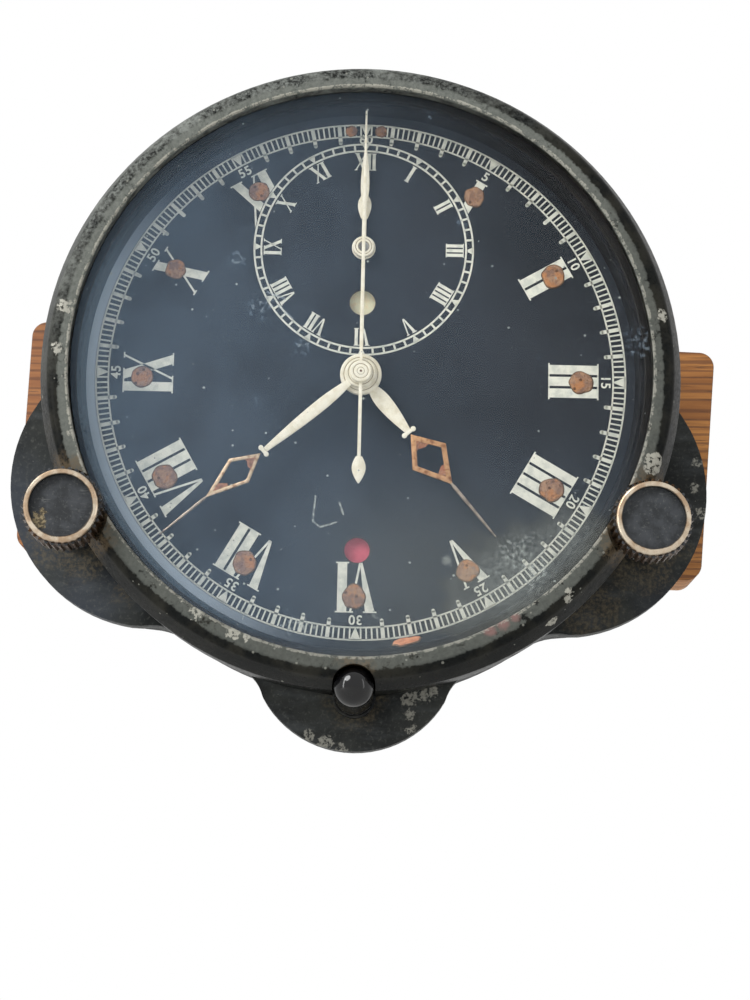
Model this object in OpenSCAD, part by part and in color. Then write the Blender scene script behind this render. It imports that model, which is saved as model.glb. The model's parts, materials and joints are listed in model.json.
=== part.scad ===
// Instrument panel clock with trip timer, on a wooden batten.
// Parts are drawn round the clock's own axis: x right, y up, z out towards the reader,
// with z = 0 on the dial's face. place() then stands the clock upright, facing -Y,
// with the origin where the axis meets the back of the batten.

/* [Dial] */
// Radius of the dial plate
dial_r = 44.4; // [40:0.1:60]
// Thickness of the dial plate
dial_t = 0.8; // [0.5:0.1:1.5]
// Height of the trip dial's centre above the main centre
trip_y = 21.3; // [20.5:0.1:27]
// Height of the trip window's centre above the main centre
trip_window_y = 12.3; // [11:0.1:14]
// Radius of the trip window
trip_window_r = 2.2; // [1.5:0.1:2.8]
// Depth of the running window's centre below the main centre
run_window_y = 28; // [24:0.5:30]
// Radius of the running window
run_window_r = 2.3; // [1.5:0.1:2.8]
// Radius of a luminous pip
pip_r = 1.75; // [1:0.05:2.2]
// Radius of the circle that the hour pips lie on
pip_circle_r = 35.2; // [30:0.1:38]
// Thickness of a pip
pip_t = 0.25; // [0.1:0.05:0.4]
// Radius of the two small pips beside the sixty mark
small_pip_r = 1; // [0.6:0.1:1.3]
// Distance of the small pips from the main centre
small_pip_circle_r = 41.2; // [38:0.1:42]

/* [Hands] */
// Length of the minute hand
minute_hand_l = 40.8; // [36:0.1:46]
// Length of the hour hand
hour_hand_l = 33.6; // [26:0.1:38]
// Length of the seconds hand
seconds_hand_l = 43.3; // [36:0.1:46]
// Length of the seconds hand's tail
seconds_tail_l = 18; // [12:0.5:22]
// Length of the trip minute hand
trip_minute_l = 17; // [13:0.5:18]
// Length of the trip hour hand
trip_hour_l = 11.5; // [8:0.5:13]
// Thickness of a hand's blade
hand_t = 0.25; // [0.15:0.05:0.3]
// Minute hand's angle, clockwise from twelve
minute_angle = 229.2; // [0:0.1:360]
// Hour hand's angle, clockwise from twelve
hour_angle = 139.8; // [0:0.1:360]

/* [Glass and bezel] */
// Thickness of the glass
glass_t = 1.5; // [1:0.1:2]
// Thickness of the gasket behind the glass
gasket_t = 1.2; // [0.8:0.1:2]
// Thickness of the rehaut ring's rim
rehaut_t = 0.8; // [0.5:0.1:1.2]
// Height of the casing's spigot above the dial face
spigot_h = 2.6; // [2.4:0.1:4]
// Wall of the casing's spigot
spigot_wall = 1.5; // [1.2:0.1:2.5]
// Width of the bezel ring
bezel_w = 3.9; // [3.6:0.1:6]
// Height of the bezel's lip above the glass
lip_h = 2.3; // [1.6:0.1:3]
// How far the lip covers the glass
lip_cover = 0.45; // [0.3:0.05:1]
// Radius of the bezel's rounded shoulder
shoulder_round_r = 1.8; // [1.2:0.1:2.4]
// Slope of the bezel's side below the shoulder, in degrees
side_slope = 21; // [15:1:24]
// How far below the lip the bezel is widest
side_drop = 5; // [4.5:0.1:7]
// How far the bezel's side stands out beyond its foot
side_swell = 0.5; // [0:0.05:0.6]
// Radius of a bezel screw
bezel_screw_r = 0.9; // [0.6:0.05:1.1]

/* [Flange and housing] */
// Depth of the flange's front face behind the dial face
flange_depth = 8; // [7:0.5:10]
// Thickness of the flange
flange_t = 3.5; // [2.5:0.1:5]
// How far the round part of the flange stands out beyond the bezel
flange_margin = 0.7; // [0.3:0.1:3]
// Radius of each side lobe
side_lobe_r = 23.4; // [22.8:0.1:26]
// How far inside the bezel's edge a side lobe is centred
side_lobe_in = 13.4; // [12.5:0.1:14]
// Angle of a side lobe below the horizontal
side_lobe_angle = 26.4; // [24:0.1:30]
// Radius of the bottom lobe
bottom_lobe_r = 16.8; // [16:0.1:19]
// How far inside the bezel's edge the bottom lobe is centred
bottom_lobe_in = 8; // [7:0.1:9]
// Radius of the hollow corner above a side lobe
upper_fillet_r = 16; // [8:1:24]
// Radius of the hollow corner below a side lobe
lower_fillet_r = 9; // [5:1:12]
// Radius of the hollow corner beside the bottom lobe
bottom_fillet_r = 7; // [4:1:10]
// How far the housing behind the flange is set in from its edge
housing_inset = 2.5; // [2:0.1:3]
// Wall of the housing
housing_wall = 1.8; // [1.2:0.1:2.2]
// Depth of the gear housing behind the flange
housing_depth = 17.5; // [17:0.5:24]
// Thickness of the housing's back
housing_back_t = 2; // [1.5:0.1:3]
// Depth of the drum behind the housing
drum_depth = 7; // [6:0.5:20]
// Outer radius of the drum
drum_r = 42; // [41.5:0.1:43]
// Wall of the drum
drum_wall = 1.6; // [1:0.1:2]
// Thickness of the rear cover
cover_t = 2; // [1.5:0.1:3]
// Radius of a casing screw
case_screw_r = 1; // [0.8:0.1:1.3]
// Radius of a casing screw's boss
boss_r = 2.8; // [2.2:0.1:2.9]

/* [Knobs] */
// Radius over a knob's milled edge
knob_r = 6.2; // [5:0.1:6.4]
// Height of a knob
knob_h = 6; // [4:0.1:8]
// Radius of a knob's front rim
knob_rim_r = 5.65; // [4.5:0.05:5.9]
// Radius of the recess in a knob's front
knob_recess_r = 4.85; // [3.5:0.05:5.2]
// Depth of the recess in a knob's front
knob_recess_d = 0.9; // [0.3:0.1:2]
// Teeth round a knob's milled edge
knob_teeth = 36; // [24:1:60]
// Depth of a knob's milled teeth
knurl_d = 0.35; // [0.2:0.05:0.6]
// How far outside the bezel's edge a knob's axis lies
knob_out = 1.1; // [0.6:0.1:2]
// Angle of a knob below the horizontal
knob_angle = 28.2; // [26:0.1:30]
// Radius of a knob's stem
stem_r = 1.9; // [1.4:0.1:2]
// Radius of a knob's bush
bush_r = 3.2; // [2.6:0.1:3.4]
// Travel of the setting knob when it is pulled out
setting_travel = 2.4; // [1.8:0.1:2.6]

/* [Push button] */
// Radius of the push button
button_r = 3.1; // [2.5:0.05:3.3]
// Height of the button's top above the dial face
button_top = 9.1; // [6:0.1:12]
// How far outside the bezel's edge the button's axis lies
button_out = 0.1; // [0:0.1:1]
// Travel of the button
button_travel = 2; // [1:0.1:2.5]
// Radius of the button's stem
button_stem_r = 1.5; // [1:0.1:1.8]
// Wire diameter of the return spring
spring_wire = 0.5; // [0.4:0.05:0.6]
// Curls of the return spring
spring_curls = 4; // [3:1:5]

/* [Movement] */
// Width of the ring that holds the movement
ring_w = 5.6; // [4.5:0.1:7]
// Thickness of the front plate
front_plate_t = 2; // [1.5:0.1:2.5]
// Thickness of the back plate
back_plate_t = 2; // [1.5:0.1:2.5]
// Distance between the plates
plate_gap = 12; // [12:0.5:14]
// Space between the dial and the front plate
dial_space = 4.2; // [4.2:0.1:5]
// Radius of an arbor's pivot
pivot_r = 0.6; // [0.4:0.05:0.7]
// Radius of an arbor between the plates
arbor_r = 0.9; // [0.8:0.05:1]
// Radius of a pillar
pillar_r = 2; // [1.5:0.1:2.5]
// Radius of a plate screw
plate_screw_r = 0.8; // [0.6:0.05:0.9]
// Width of a wheel's rim inside its teeth
rim_w = 0.9; // [0.6:0.1:1.2]
// Thickness of a train wheel
wheel_t = 0.8; // [0.6:0.1:1]

/* [Gearing] */
// Tooth module of the barrel and the centre pinion
barrel_module = 0.4; // [0.38:0.01:0.42]
// Tooth module of the going train
train_module = 0.35; // [0.33:0.01:0.36]
// Tooth module of the cannon pinions and what they drive
motion_module = 0.35; // [0.33:0.01:0.36]
// Tooth module of the winding and setting gears
knob_module = 0.6; // [0.56:0.01:0.62]
// Teeth of the barrel
barrel_teeth = 72; // [60:12:84]
// Leaves of the centre pinion
centre_leaves = 12; // [10:2:14]
// Teeth of the centre wheel
centre_teeth = 64; // [56:8:64]
// Teeth of the third wheel
third_teeth = 60; // [52:4:60]
// Teeth of the fourth wheel
fourth_teeth = 48; // [42:6:48]
// Leaves of the third and fourth pinions
train_leaves = 8; // [8:1:10]
// Leaves of the escape pinion
escape_leaves = 6; // [6:1:8]
// Leaves of a cannon pinion, and of the pinion on a minute wheel
cannon_leaves = 12; // [12:1:14]
// Teeth of a minute wheel
minute_teeth = 36; // [30:2:36]
// Teeth of an hour wheel
hour_teeth = 48; // [40:2:48]
// Leaves of the pinions on the knob stems
knob_leaves = 12; // [12:1:13]
// Teeth of the ratchet wheel
ratchet_teeth = 26; // [24:2:28]
// Leaves of the transfer pinion under the dial
transfer_leaves = 12; // [12:1:14]

/* [Batten] */
// Length of the wooden batten
batten_w = 121.4; // [110:0.1:160]
// Height of the batten
batten_h = 41.1; // [36:0.1:60]
// Thickness of the batten
batten_t = 12; // [9:0.5:20]
// Radius of the batten's corners
batten_corner_r = 2.6; // [1:0.1:6]
// Sideways place of the batten's centre
batten_x = 1.3; // [-3:0.1:3]
// Height of the batten's centre above the clock's axis
batten_y = -3.2; // [-6:0.1:6]
// Turn of the batten, anticlockwise from the front
batten_turn = -1.5; // [-3:0.5:3]
// Distance between the two fixing holes in the back of the batten
fixing_pitch = 90; // [80:1:96]
// Radius of a fixing hole
fixing_r = 1.75; // [1.5:0.05:2.5]
// Depth of a fixing hole
fixing_depth = 9; // [6:0.5:9]
// Distance between the two screws that hold the clock to the batten
batten_screw_pitch = 48; // [40:1:56]
// Radius of a batten screw
batten_screw_r = 1.6; // [1.2:0.1:2]

/* [Fits] */
// Running clearance round a shaft or pivot
run_clear = 0.05; // [0.03:0.01:0.08]
// Slip clearance between parts that only fit together
slip_clear = 0.1; // [0.05:0.01:0.15]
// Clearance round the dial and the movement ring
seat_clear = 0.2; // [0.1:0.05:0.3]
// Clearance between a moving part and the one beside it
move_clear = 0.3; // [0.2:0.05:0.35]
// Clearance round a knob where it sits in the bezel
knob_clear = 0.5; // [0.4:0.05:0.8]

/* [Hidden] */
$fn = 96;

function polar(r, a) = [r * cos(a), r * sin(a)];
function dist(a, b) = norm(b - a);
function heading(a, b) = atan2(b.y - a.y, b.x - a.x);

// The point at distance ra from a and rb from b, on the left of the line from a to b
// where side is 1, and on its right where side is -1
function meet(a, ra, b, rb, side) =
  let (d = dist(a, b))
  let (c = (ra * ra + d * d - rb * rb) / (2 * ra * d))
  a + polar(ra, heading(a, b) + side * acos(c));

// Radii, from the dial outwards
spigot_in_r = dial_r + seat_clear;
spigot_out_r = spigot_in_r + spigot_wall;
bezel_bore_r = spigot_out_r + slip_clear;
bezel_r = bezel_bore_r + bezel_w;
glass_r = bezel_bore_r - slip_clear;
lip_r = bezel_bore_r - lip_cover;
flange_r = bezel_r + flange_margin;
ring_in_r = dial_r - ring_w;
// The opening behind the dial passes the movement's plates and pillars
ledge_r = max(drum_r - 0.5, ring_in_r);
plate_r = ring_in_r - move_clear;

// Heights, from the dial's face forwards
rehaut_z = spigot_h + rehaut_t;
glass_z = rehaut_z + gasket_t;
glass_top_z = glass_z + glass_t;
lip_z = glass_top_z + lip_h;
pocket_z = glass_top_z + 0.9;
knob_z = pocket_z + move_clear;
hand_clear = 0.15;
trip_hour_z = 0.35;
trip_minute_z = 1;
trip_hub_top = trip_minute_z + 0.45;
hour_z = trip_hub_top + hand_clear;
minute_z = hour_z + 1.1;
seconds_z = minute_z + 0.95;

// Depths, from the dial's face backwards
flange_z = -flange_depth;
flange_back_z = flange_z - flange_t;
floor_z = flange_back_z - housing_depth;
housing_back_z = floor_z - housing_back_t;
drum_z = housing_back_z - drum_depth;
cover_z = drum_z - cover_t;
back_z = cover_z - batten_t;
plate_front_z = -dial_t - dial_space;
plate_rear_z = plate_front_z - front_plate_t;
rear_plate_front_z = plate_rear_z - plate_gap;
rear_plate_back_z = rear_plate_front_z - back_plate_t;
pivot_end = 0.2;

// Levels of the wheels
flag_z = -dial_t - 0.7;
flag_t = 0.3;
hour_wheel_z = -dial_t - 1.8;
hour_wheel_t = 0.7;
minute_wheel_z = plate_front_z + 0.6;
minute_wheel_t = 0.8;
cannon_z = plate_front_z + 0.5;
cannon_t = 1.5;
barrel_z = plate_rear_z - 9;
barrel_h = 8;
barrel_teeth_h = 2;
fourth_z = plate_rear_z - 4.3;
third_z = plate_rear_z - 7.8;
escape_z = plate_rear_z - 6.7;
centre_z = plate_rear_z - 10.8;
trip_wheel_z = plate_rear_z - 2.2;
roller_z = plate_rear_z - 8.4;
rear_gear_t = 1.6;
rear_gear_z = rear_plate_back_z - 0.6 - rear_gear_t;
runner_t = 0.8;
runner_z = rear_plate_back_z - 0.6 - runner_t;
balance_t = 1.4;
balance_z = rear_plate_back_z - 1.2 - balance_t;
spring_z = balance_z - 1.8;
cock_t = 2;
cock_z = spring_z - 1.2 - cock_t;

// Places of the arbors and stems
centre = [0, 0];
trip = [0, trip_y];
knob_axis_r = bezel_r + knob_out;
left_knob = polar(knob_axis_r, 180 + knob_angle);
right_knob = polar(knob_axis_r, -knob_angle);
button = [0, -(bezel_r + button_out)];
barrel_at = polar((barrel_teeth + centre_leaves) * barrel_module / 2, 200);
third = polar((centre_teeth + train_leaves) * train_module / 2, 325);
fourth = third + polar((third_teeth + train_leaves) * train_module / 2, 45);
escape = fourth + polar((fourth_teeth + escape_leaves) * train_module / 2, 70);
pallet = escape + polar(6.9, 112);
balance_at = pallet + polar(12.3, 142.5);
motion_d = (cannon_leaves + minute_teeth) * motion_module / 2;
hour_module = 2 * motion_d / (cannon_leaves + hour_teeth);
minute_at = polar(motion_d, -68);
trip_minute_at = trip + polar(motion_d, 180);
trip_flag_at = [7.6, trip_window_y - 0.8];
run_flag_at = [-7, -run_window_y];

// The transfer wheel spans from the setting stem to just inside the plate's edge
transfer_edge = 3.9;
transfer_teeth = ceil(2 * (knob_axis_r - plate_r + transfer_edge) / knob_module) - knob_leaves;
transfer_d = (knob_leaves + transfer_teeth) * knob_module / 2;
transfer = polar(knob_axis_r - transfer_d, -knob_angle);

// Each idler has as many teeth as it takes to span the gap that it bridges
setting_span = 2 * dist(minute_at, transfer) / motion_module;
idler_teeth = ceil((setting_span - minute_teeth - transfer_leaves) / 2) + 2;
idler = meet(minute_at, (minute_teeth + idler_teeth) * motion_module / 2,
             transfer, (idler_teeth + transfer_leaves) * motion_module / 2, -1);
winding_span = 2 * dist(left_knob, barrel_at) / knob_module;
winding_teeth = ceil((winding_span - knob_leaves - ratchet_teeth) / 2) + 1;
winding = meet(left_knob, (knob_leaves + winding_teeth) * knob_module / 2,
               barrel_at, (winding_teeth + ratchet_teeth) * knob_module / 2, -1);
echo("knob and wheel teeth:", transfer = transfer_teeth, idler = idler_teeth, winding = winding_teeth);
echo("places:", left_knob = left_knob, minute = minute_at, idler = idler, transfer = transfer,
     winding = winding, barrel = barrel_at, third = third, fourth = fourth, escape = escape,
     pallet = pallet, balance = balance_at, trip_minute = trip_minute_at, back_z = back_z);

pillar_angles = [35, 130, 245, 300];
pillar_circle_r = plate_r - 4.7;
ring_screw_angles = [60, 180, 280];
ring_screw_circle_r = plate_r - 1.3;

// Centres of the lobes and of the hollow corners beside them
right_lobe = polar(bezel_r - side_lobe_in, -side_lobe_angle);
bottom_lobe = [0, -(bezel_r - bottom_lobe_in)];
upper_corner = meet(centre, flange_r + upper_fillet_r, right_lobe, side_lobe_r + upper_fillet_r, 1);
lower_corner = meet(centre, flange_r + lower_fillet_r, right_lobe, side_lobe_r + lower_fillet_r, -1);
bottom_corner = meet(centre, flange_r + bottom_fillet_r,
                     bottom_lobe, bottom_lobe_r + bottom_fillet_r, 1);

// Screw bosses inside the housing
inner_lobe_r = side_lobe_r - housing_inset - housing_wall;
inner_round_r = flange_r - housing_inset - housing_wall;
inner_bottom_r = bottom_lobe_r - housing_inset - housing_wall;
side_boss = right_lobe + polar(inner_lobe_r - 1.9, 30);
top_boss = polar(inner_round_r - 1.9, 60);
bottom_boss = bottom_lobe + polar(inner_bottom_r - 1.1, -41);
half_bosses = [side_boss, top_boss, bottom_boss];
bosses = [for (p = half_bosses) for (s = [-1, 1]) [s * p.x, p.y]];
cover_boss_r = 2.4;
cover_bosses = [for (a = [45:90:315]) polar(drum_r - drum_wall - 1.6, a)];

// Turns a drawing round the clock's axis into the standing clock
module place() {
  translate([0, back_z, 0]) rotate([90, 0, 0]) children();
}

// A round bar or hole of radius r between two heights, at a point
module rod(p, r, z0, z1) {
  translate([p.x, p.y, min(z0, z1)]) cylinder(r = r, h = abs(z1 - z0));
}

// A flat shape between two heights, at a point
module slab(p, z0, z1) {
  translate([p.x, p.y, min(z0, z1)]) linear_extrude(abs(z1 - z0)) children();
}

// A ring between two radii and two heights, at a point
module tube(p, r_out, r_in, z0, z1) {
  slab(p, z0, z1) difference() {
    circle(r_out);
    circle(r_in);
  }
}

// A slotted screw: its shank runs from z0 to z1 and its head stands out beyond z1
module screw(p, r, z0, z1, head_t, head_r) {
  out = z1 > z0 ? 1 : -1;
  rod(p, r, z0, z1);
  slab(p, z1, z1 + out * head_t / 2) circle(head_r);
  slab(p, z1 + out * head_t / 2, z1 + out * head_t) difference() {
    circle(head_r);
    square([2 * head_r + 1, head_r * 0.3], center = true);
  }
}

// Gear teeth: thin pointed teeth with backlash, the tooth at number 0 pointing along phase
tooth_root = 0.3;
tooth_tip = 0.11;
tooth_up = 0.8;
tooth_down = 1.15;
function gear_points(n, m, phase) =
  let (r_in = n * m / 2 - tooth_down * m)
  let (r_out = n * m / 2 + tooth_up * m)
  [for (i = [0:n - 1])
     for (c = [[-tooth_root, r_in], [-tooth_tip, r_out], [tooth_tip, r_out], [tooth_root, r_in]])
       polar(c[1], phase + (i + c[0]) * 360 / n)];

// The phase of gear b that meshes with gear a, b lying from a in direction dir
function mesh(dir, na, phase_a, nb) = dir + 180 + 180 / nb - (phase_a - dir) * na / nb;

module gear(n, m, phase) {
  polygon(gear_points(n, m, phase));
}

// A wheel with crossed-out spokes between its hub and its rim
module wheel(n, m, phase, hub_r, spokes, spoke_w) {
  inner_r = n * m / 2 - tooth_down * m - rim_w;
  difference() {
    gear(n, m, phase);
    difference() {
      circle(inner_r);
      circle(hub_r);
      for (i = [0:spokes - 1]) rotate(phase + i * 360 / spokes) translate([0, -spoke_w / 2])
        square([inner_r + rim_w / 2, spoke_w]);
    }
  }
}

// An arbor with a thinner pivot in each plate
module arbor(p, r) {
  rod(p, r, plate_rear_z - hand_clear, rear_plate_front_z + hand_clear);
  rod(p, pivot_r, plate_front_z - pivot_end, rear_plate_back_z + pivot_end);
}

// The fillet between two round shapes, as the triangle of centres less the corner's circle
module web(a, b, corner, r) {
  difference() {
    polygon([a, b, corner]);
    translate(corner) circle(r);
  }
}

// The flange's lobed outline, drawn in by inset
module outline(inset) {
  circle(flange_r - inset);
  translate(bottom_lobe) circle(bottom_lobe_r - inset);
  for (s = [0, 1]) mirror([s, 0]) {
    translate(right_lobe) circle(side_lobe_r - inset);
    web(centre, right_lobe, upper_corner, upper_fillet_r + inset);
    web(centre, right_lobe, lower_corner, lower_fillet_r + inset);
    web(centre, bottom_lobe, bottom_corner, bottom_fillet_r + inset);
  }
}

// Casing

boss_depth = 9;
module front_flange() color([0.13, 0.14, 0.15]) difference() {
  union() {
    slab(centre, flange_back_z, flange_z) outline(0);
    slab(centre, floor_z, flange_back_z) difference() {
      outline(housing_inset);
      outline(housing_inset + housing_wall);
    }
    for (p = bosses) rod(p, boss_r, floor_z, flange_back_z);
    rod(centre, spigot_out_r, flange_z, spigot_h);
  }
  rod(centre, spigot_in_r, flange_z, spigot_h + 1);
  rod(centre, ledge_r, flange_back_z - 1, flange_z + 1);
  for (p = [left_knob, right_knob]) rod(p, bush_r + run_clear, flange_back_z - 1, flange_z + 1);
  rod(button, button_bush_r + run_clear, flange_back_z - 1, flange_z + 1);
  for (p = bosses) rod(p, case_screw_r + run_clear, floor_z - 1, floor_z + boss_depth);
  grub_holes(bezel_screw_r + run_clear);
}

// The bosses stay clear of the setting pinion when it is pushed in
stem_boss_top = min(floor_z + 2.6, rear_gear_z - setting_travel - move_clear);
stem_end_z = housing_back_z + pivot_end;
stem_pivot_r = stem_r - 0.4;
module gear_housing() color([0.16, 0.17, 0.18]) difference() {
  union() {
    slab(centre, housing_back_z, floor_z) outline(housing_inset);
    rod(centre, drum_r, drum_z, housing_back_z);
    for (p = [left_knob, right_knob]) rod(p, bush_r - 0.4, floor_z, stem_boss_top);
  }
  difference() {
    rod(centre, drum_r - drum_wall, drum_z - 1, floor_z + 1);
    for (p = cover_bosses) rod(p, cover_boss_r, drum_z - 1, floor_z);
  }
  for (p = cover_bosses) rod(p, case_screw_r + run_clear, drum_z - 1, drum_z + 5);
  for (p = bosses) rod(p, case_screw_r + seat_clear, housing_back_z - 1, floor_z + 1);
  for (p = [left_knob, right_knob])
    rod(p, stem_pivot_r + run_clear, housing_back_z - 1, stem_boss_top + 1);
}

batten_screws_at = [for (s = [-1, 1]) [s * batten_screw_pitch / 2, batten_y]];
batten_boss_h = 4;
batten_boss_r = 3.6;
module rear_cover() color([0.2, 0.21, 0.22]) difference() {
  union() {
    rod(centre, drum_r, cover_z, drum_z);
    for (p = batten_screws_at) rod(p, batten_boss_r, drum_z, drum_z + batten_boss_h);
  }
  for (p = cover_bosses) rod(p, case_screw_r + seat_clear, cover_z - 1, drum_z + 1);
  for (p = cover_bosses) rod(p, 2 * case_screw_r + seat_clear, cover_z - 1, cover_z + 1.2);
  for (p = batten_screws_at)
    rod(p, batten_screw_r + run_clear, cover_z - 1, drum_z + batten_boss_h + 1);
}

module case_screws() color([0.55, 0.53, 0.48]) {
  for (p = bosses)
    screw(p, case_screw_r, floor_z + boss_depth - 1, housing_back_z, 1.4, 2 * case_screw_r);
  for (p = cover_bosses) screw(p, case_screw_r, drum_z + 4, cover_z + 1.2, 1, 2 * case_screw_r);
}

module batten_shape() {
  x = batten_w / 2 - batten_corner_r;
  y = batten_h / 2 - batten_corner_r;
  square([2 * x, batten_h], center = true);
  square([batten_w, 2 * y], center = true);
  for (i = [-1, 1]) for (j = [-1, 1]) translate([i * x, j * y]) circle(batten_corner_r);
}

screw_sink = 3.2;
screw_head_r = 3.2;
module wooden_batten() color([0.55, 0.34, 0.16]) difference() {
  slab([batten_x, batten_y], back_z, cover_z) rotate(batten_turn) batten_shape();
  for (s = [-1, 1])
    rod([batten_x + s * fixing_pitch / 2, batten_y], fixing_r, back_z - 1, back_z + fixing_depth);
  for (p = batten_screws_at) {
    rod(p, batten_screw_r + seat_clear, back_z - 1, cover_z + 1);
    rod(p, screw_head_r + seat_clear, back_z - 1, back_z + screw_sink);
  }
}

module batten_screws() color([0.6, 0.52, 0.32]) {
  for (p = batten_screws_at)
    screw(p, batten_screw_r, drum_z + batten_boss_h - 0.5, back_z + screw_sink, 1.8, screw_head_r);
}

// Bezel, glass and dial

groove_clear = 0.25;

// Centres of the roundings of the bezel's section, with one slope that touches both
side_round_r = 1;
side_at = [bezel_r + side_swell - side_round_r, lip_z - side_drop];
shoulder_z = lip_z - shoulder_round_r;
shoulder_at = [side_at[0] + (side_round_r - shoulder_round_r
  + (side_at[1] - shoulder_z) * sin(side_slope)) / cos(side_slope), shoulder_z];

module bezel() color([0.2, 0.2, 0.19]) difference() {
  rotate_extrude() polygon(concat(
    [[bezel_bore_r, flange_z], [flange_r, flange_z], [flange_r - 0.45, flange_z + 0.35],
     [bezel_r, flange_z + 1]],
    [for (i = [0:3]) side_at + polar(side_round_r, side_slope * i / 3)],
    [for (i = [0:9]) shoulder_at + polar(shoulder_round_r, side_slope + (90 - side_slope) * i / 9)],
    [[lip_r + 0.2, lip_z], [lip_r, lip_z - 0.2], [lip_r, glass_top_z],
     [bezel_bore_r, glass_top_z]]));
  for (p = [left_knob, right_knob]) {
    rod(p, knob_r + knob_clear, pocket_z, lip_z + 1);
    rod(p, bush_r + seat_clear, flange_z - 1, lip_z);
  }
  rod(button, button_r + groove_clear, flange_z - 1, lip_z + 1);
  rod(button, button_bush_r + slip_clear, flange_z - 1, flange_z + button_collar_h + slip_clear);
  grub_holes(bezel_screw_r + run_clear);
}

// Three screws hold the bezel to the spigot, side on
grub_angles = [60, 180, 300];
grub_z = flange_z + 5;
module grub_holes(r) {
  for (a = grub_angles) rotate(a) translate([spigot_in_r - 1, 0, grub_z]) rotate([0, 90, 0])
    cylinder(r = r, h = bezel_r - spigot_in_r + 4);
}

module bezel_screws() color([0.4, 0.38, 0.34])
  for (a = grub_angles) rotate(a) translate([spigot_in_r + 0.1, 0, grub_z]) rotate([0, 90, 0])
    difference() {
      cylinder(r = bezel_screw_r, h = bezel_r - spigot_in_r - 0.5);
      translate([-bezel_screw_r - 1, -0.15, bezel_r - spigot_in_r - 1])
        cube([2 * bezel_screw_r + 2, 0.3, 2]);
    }

module glass() color([0.8, 0.88, 0.9, 0.35]) rod(centre, glass_r, glass_z, glass_top_z);

module glass_gasket() color([0.1, 0.1, 0.1])
  tube(centre, glass_r, glass_r - 1.2, rehaut_z, glass_z);

rehaut_in_r = dial_r - 0.65;
module rehaut_ring() color([0.08, 0.08, 0.09]) rotate_extrude() polygon([
  [glass_r, spigot_h], [glass_r, rehaut_z], [rehaut_in_r + 0.45, rehaut_z],
  [rehaut_in_r, 0.1], [dial_r - 0.1, 0.1], [dial_r + 0.1, 0.5], [dial_r + 0.1, spigot_h]]);

feet_r = 0.9;
feet_l = 3.5;
feet = [for (a = [90, 210, 330]) polar(dial_r - ring_w / 2, a)];
centre_hole_r = 2.3;
trip_hole_r = 1.65;
module dial() color([0.1, 0.11, 0.13]) difference() {
  union() {
    rod(centre, dial_r, -dial_t, 0);
    for (p = feet) rod(p, feet_r, -dial_t - feet_l, -dial_t / 2);
  }
  rod(centre, centre_hole_r, -dial_t - 1, 1);
  rod(trip, trip_hole_r, -dial_t - 1, 1);
  rod([0, trip_window_y], trip_window_r, -dial_t - 1, 1);
  rod([0, -run_window_y], run_window_r, -dial_t - 1, 1);
}

module luminous_pips() color([0.5, 0.3, 0.22]) {
  for (h = [1:11]) rod(polar(pip_circle_r, 90 - 30 * h), pip_r, 0, pip_t);
  for (s = [-1, 1]) rod(polar(small_pip_circle_r, 90 + s * 3.35), small_pip_r, 0, pip_t);
}

// Hands

// A leaf-shaped blade of width w, widest at a share of its length
module leaf(y0, y1, w, w_end, widest) {
  l = y1 - y0;
  steps = [0:0.1:1];
  half = function (t) t < widest
    ? w / 2 * (0.45 + 0.55 * sin(90 * t / widest))
    : w_end / 2 + (w - w_end) / 2 * cos(90 * (t - widest) / (1 - widest));
  polygon(concat([for (t = steps) [half(t), y0 + l * t]],
                 [for (t = steps) [-half(1 - t), y1 - l * t]]));
}

// A hollow diamond from y0 to y1, widest at ym, with a rim of width rim
module diamond(y0, ym, y1, half_w, rim) {
  inner = (half_w - rim) / half_w;
  difference() {
    polygon([[0, y0], [half_w, ym], [0, y1], [-half_w, ym]]);
    polygon([[0, ym + (y0 - ym) * inner], [half_w * inner, ym],
             [0, ym + (y1 - ym) * inner], [-half_w * inner, ym]]);
  }
}

// A hub ring that sits on a pipe, from below its blade's level z
module hub(p, r_out, r_in, z, reach) {
  tube(p, r_out, r_in + 0.02, z - reach[0], z - reach[0] + reach[1]);
}

// Radii of the pipes and arbors that carry the hands, and of the hands' hubs on them
pipe_r = 2;
cannon_r = 1.45;
seconds_r = 0.5;
trip_pipe_r = 1.35;
trip_r = 0.8;
hour_hub_r = 3.3;
minute_hub_r = 2.4;
seconds_hub_r = 1.75;
trip_hour_hub_r = 1.9;
trip_minute_hub_r = 1.7;

// How far a hub reaches below its blade, and its height
hour_hub = [0.3, 0.9];
minute_hub = [0.2, 0.8];
seconds_hub = [0.15, 0.7];
trip_hour_hub = [0.1, 0.5];
trip_minute_hub = [0.1, trip_hub_top - trip_minute_z + 0.1];

module hour_hand() color([0.85, 0.82, 0.7]) {
  hub(centre, hour_hub_r, pipe_r, hour_z, hour_hub);
  slab(centre, hour_z, hour_z + hand_t) rotate(-hour_angle) difference() {
    union() {
      leaf(2.2, hour_hand_l * 0.352, 2.55, 1, 0.35);
      translate([-1.3, hour_hand_l * 0.35]) square([2.6, 0.7]);
      diamond(hour_hand_l * 0.369, hour_hand_l * 0.51, hour_hand_l * 0.682, 3.4, 1);
      leaf(hour_hand_l * 0.669, hour_hand_l, 0.8, 0.3, 0.1);
    }
    circle(pipe_r + 0.05);
  }
}

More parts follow.
